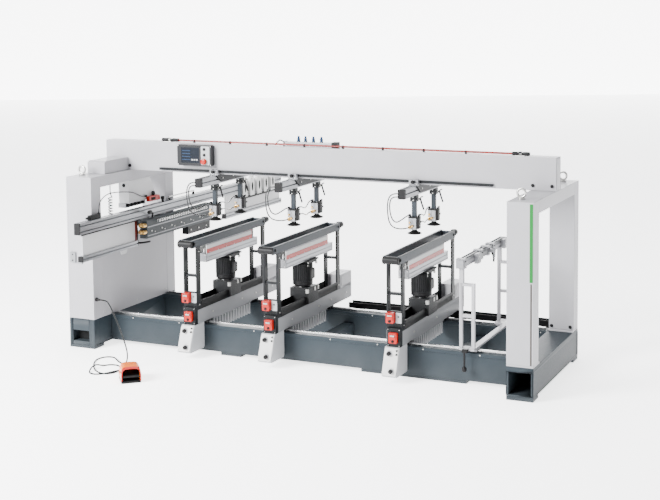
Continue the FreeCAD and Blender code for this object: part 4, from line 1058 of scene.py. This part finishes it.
def shell(piece, finish, swell, x0, x1, steps=14, across=20):
    """A thick arched shell between two stations along the pedal, open at the mouth side."""
    wall = 6.0
    rings = []
    for i in range(steps + 1):
        x = x0 + (x1 - x0) * i / steps
        for inset in (0.0, wall):
            rings.append([pedal_point(x, *arch(x, k / across, inset, swell)) for k in range(across + 1)])
    points = [p for ring in rings for p in ring]
    row = across + 1
    faces = []
    for i in range(steps):
        outer, inner = 2 * i * row, (2 * i + 1) * row
        for k in range(across):
            faces.append((outer + k, outer + k + 1, outer + 2 * row + k + 1, outer + 2 * row + k))
            faces.append((inner + k, inner + 2 * row + k, inner + 2 * row + k + 1, inner + k + 1))
        for k in (0, across):
            faces.append((outer + k, outer + 2 * row + k, inner + 2 * row + k, inner + k))
    for i in (0, steps):
        outer, inner = 2 * i * row, (2 * i + 1) * row
        for k in range(across):
            faces.append((outer + k, outer + k + 1, inner + k + 1, inner + k))
    piece.add(points, faces, finish)
    if x0 == -78:
        back = [pedal_point(-78, *arch(-78, k / across, 0, 0)) for k in range(across + 1)]
        ahead = [pedal_point(-73, *arch(-78, k / across, 0.4, 0)) for k in range(across + 1)]
        piece.add(back + ahead, prism_faces(len(back)), finish)


def arch(x, share, inset, swell):
    """(y, z) on the hood's cross-section; share runs from one foot over the top to the other."""
    half = 60 - inset + swell
    top = hood_top(x) - inset + swell
    foot = 13.0
    turn = math.pi * share
    power = 0.42
    cos, sin = math.cos(turn), math.sin(turn)
    y = -half * math.copysign(abs(cos) ** power, cos)
    return y, foot + (top - foot) * abs(sin) ** power


# ---- studio ----------------------------------------------
PAPER = (0.90, 0.90, 0.905)
FLOOR_REACH, WALL_AWAY, WALL_HALF, WALL_HEIGHT = 60.0, 24, 16, 14     # metres
FLOOR_GLOW, WALL_GLOW = 2.6, 5.2
SKY_STRENGTH = 0.8
# name, place in metres, width of the square lamp in metres, power in watts
LAMPS = (("key", (-4.0, -7.0, 4.2), 3.5, 2900), ("fill", (6.5, -4.5, 3.0), 3.0, 20),
         ("top", (0.0, 0.2, 6.5), 5.0, 500))
LAMPS_LOOK_AT = Vector((0, -0.2, 0.6))


def glow(material, strength):
    """A white surface that also gives off light."""
    shader = material.node_tree.nodes["Principled BSDF"]
    shader.inputs["Emission Color"].default_value = (1, 1, 1, 1)
    shader.inputs["Emission Strength"].default_value = strength


def paper_sheet(name, corners, roughness, strength):
    """A sheet of faintly glowing white paper, which isn't part of the machine."""
    mesh = bpy.data.meshes.new(name)
    mesh.from_pydata(corners, [], [(0, 1, 2, 3)])
    paper = finish_of(name, PAPER, roughness, spread=0.01, grain=4, bump=0.01)
    glow(paper, strength)
    mesh.materials.append(paper)
    placed(name, mesh)


def studio():
    """A white floor, a wall far behind square to the photograph's view, a pale sky and three lamps."""
    far = FLOOR_REACH
    paper_sheet("studio_floor", [(-far, -far, 0), (far, -far, 0), (far, far, 0), (-far, far, 0)],
                0.6, FLOOR_GLOW)
    away, along = Vector((-0.42, 0.907, 0)) * WALL_AWAY, Vector((0.907, 0.42, 0)) * WALL_HALF
    height = Vector((0, 0, WALL_HEIGHT))
    paper_sheet("studio_wall", [away - along, away + along, away + along + height, away - along + height],
                0.7, WALL_GLOW)
    world = bpy.data.worlds.new("studio_sky")
    bpy.context.scene.world = world
    world.use_nodes = True
    sky = world.node_tree.nodes["Background"]
    sky.inputs["Color"].default_value = (0.97, 0.98, 1.0, 1)
    sky.inputs["Strength"].default_value = SKY_STRENGTH
    for name, place, size, power in LAMPS:
        light = bpy.data.lights.new(name, "AREA")
        light.energy = power
        light.size = size
        lamp = placed(name, light)
        lamp.location = place
        lamp.rotation_euler = (LAMPS_LOOK_AT - Vector(place)).to_track_quat("-Z", "Y").to_euler()


photo_camera()
pedal_cord()
column_hoses()
for number in STATIONS:
    arm_hoses(number)
frame_nodes()
end_frames()
frame_trim()
air_supply()
control_panel()
fence()
horizontal_unit()
for number in STATIONS:
    station(number)
    arm(number)
stand_trim()
pedal()
studio()
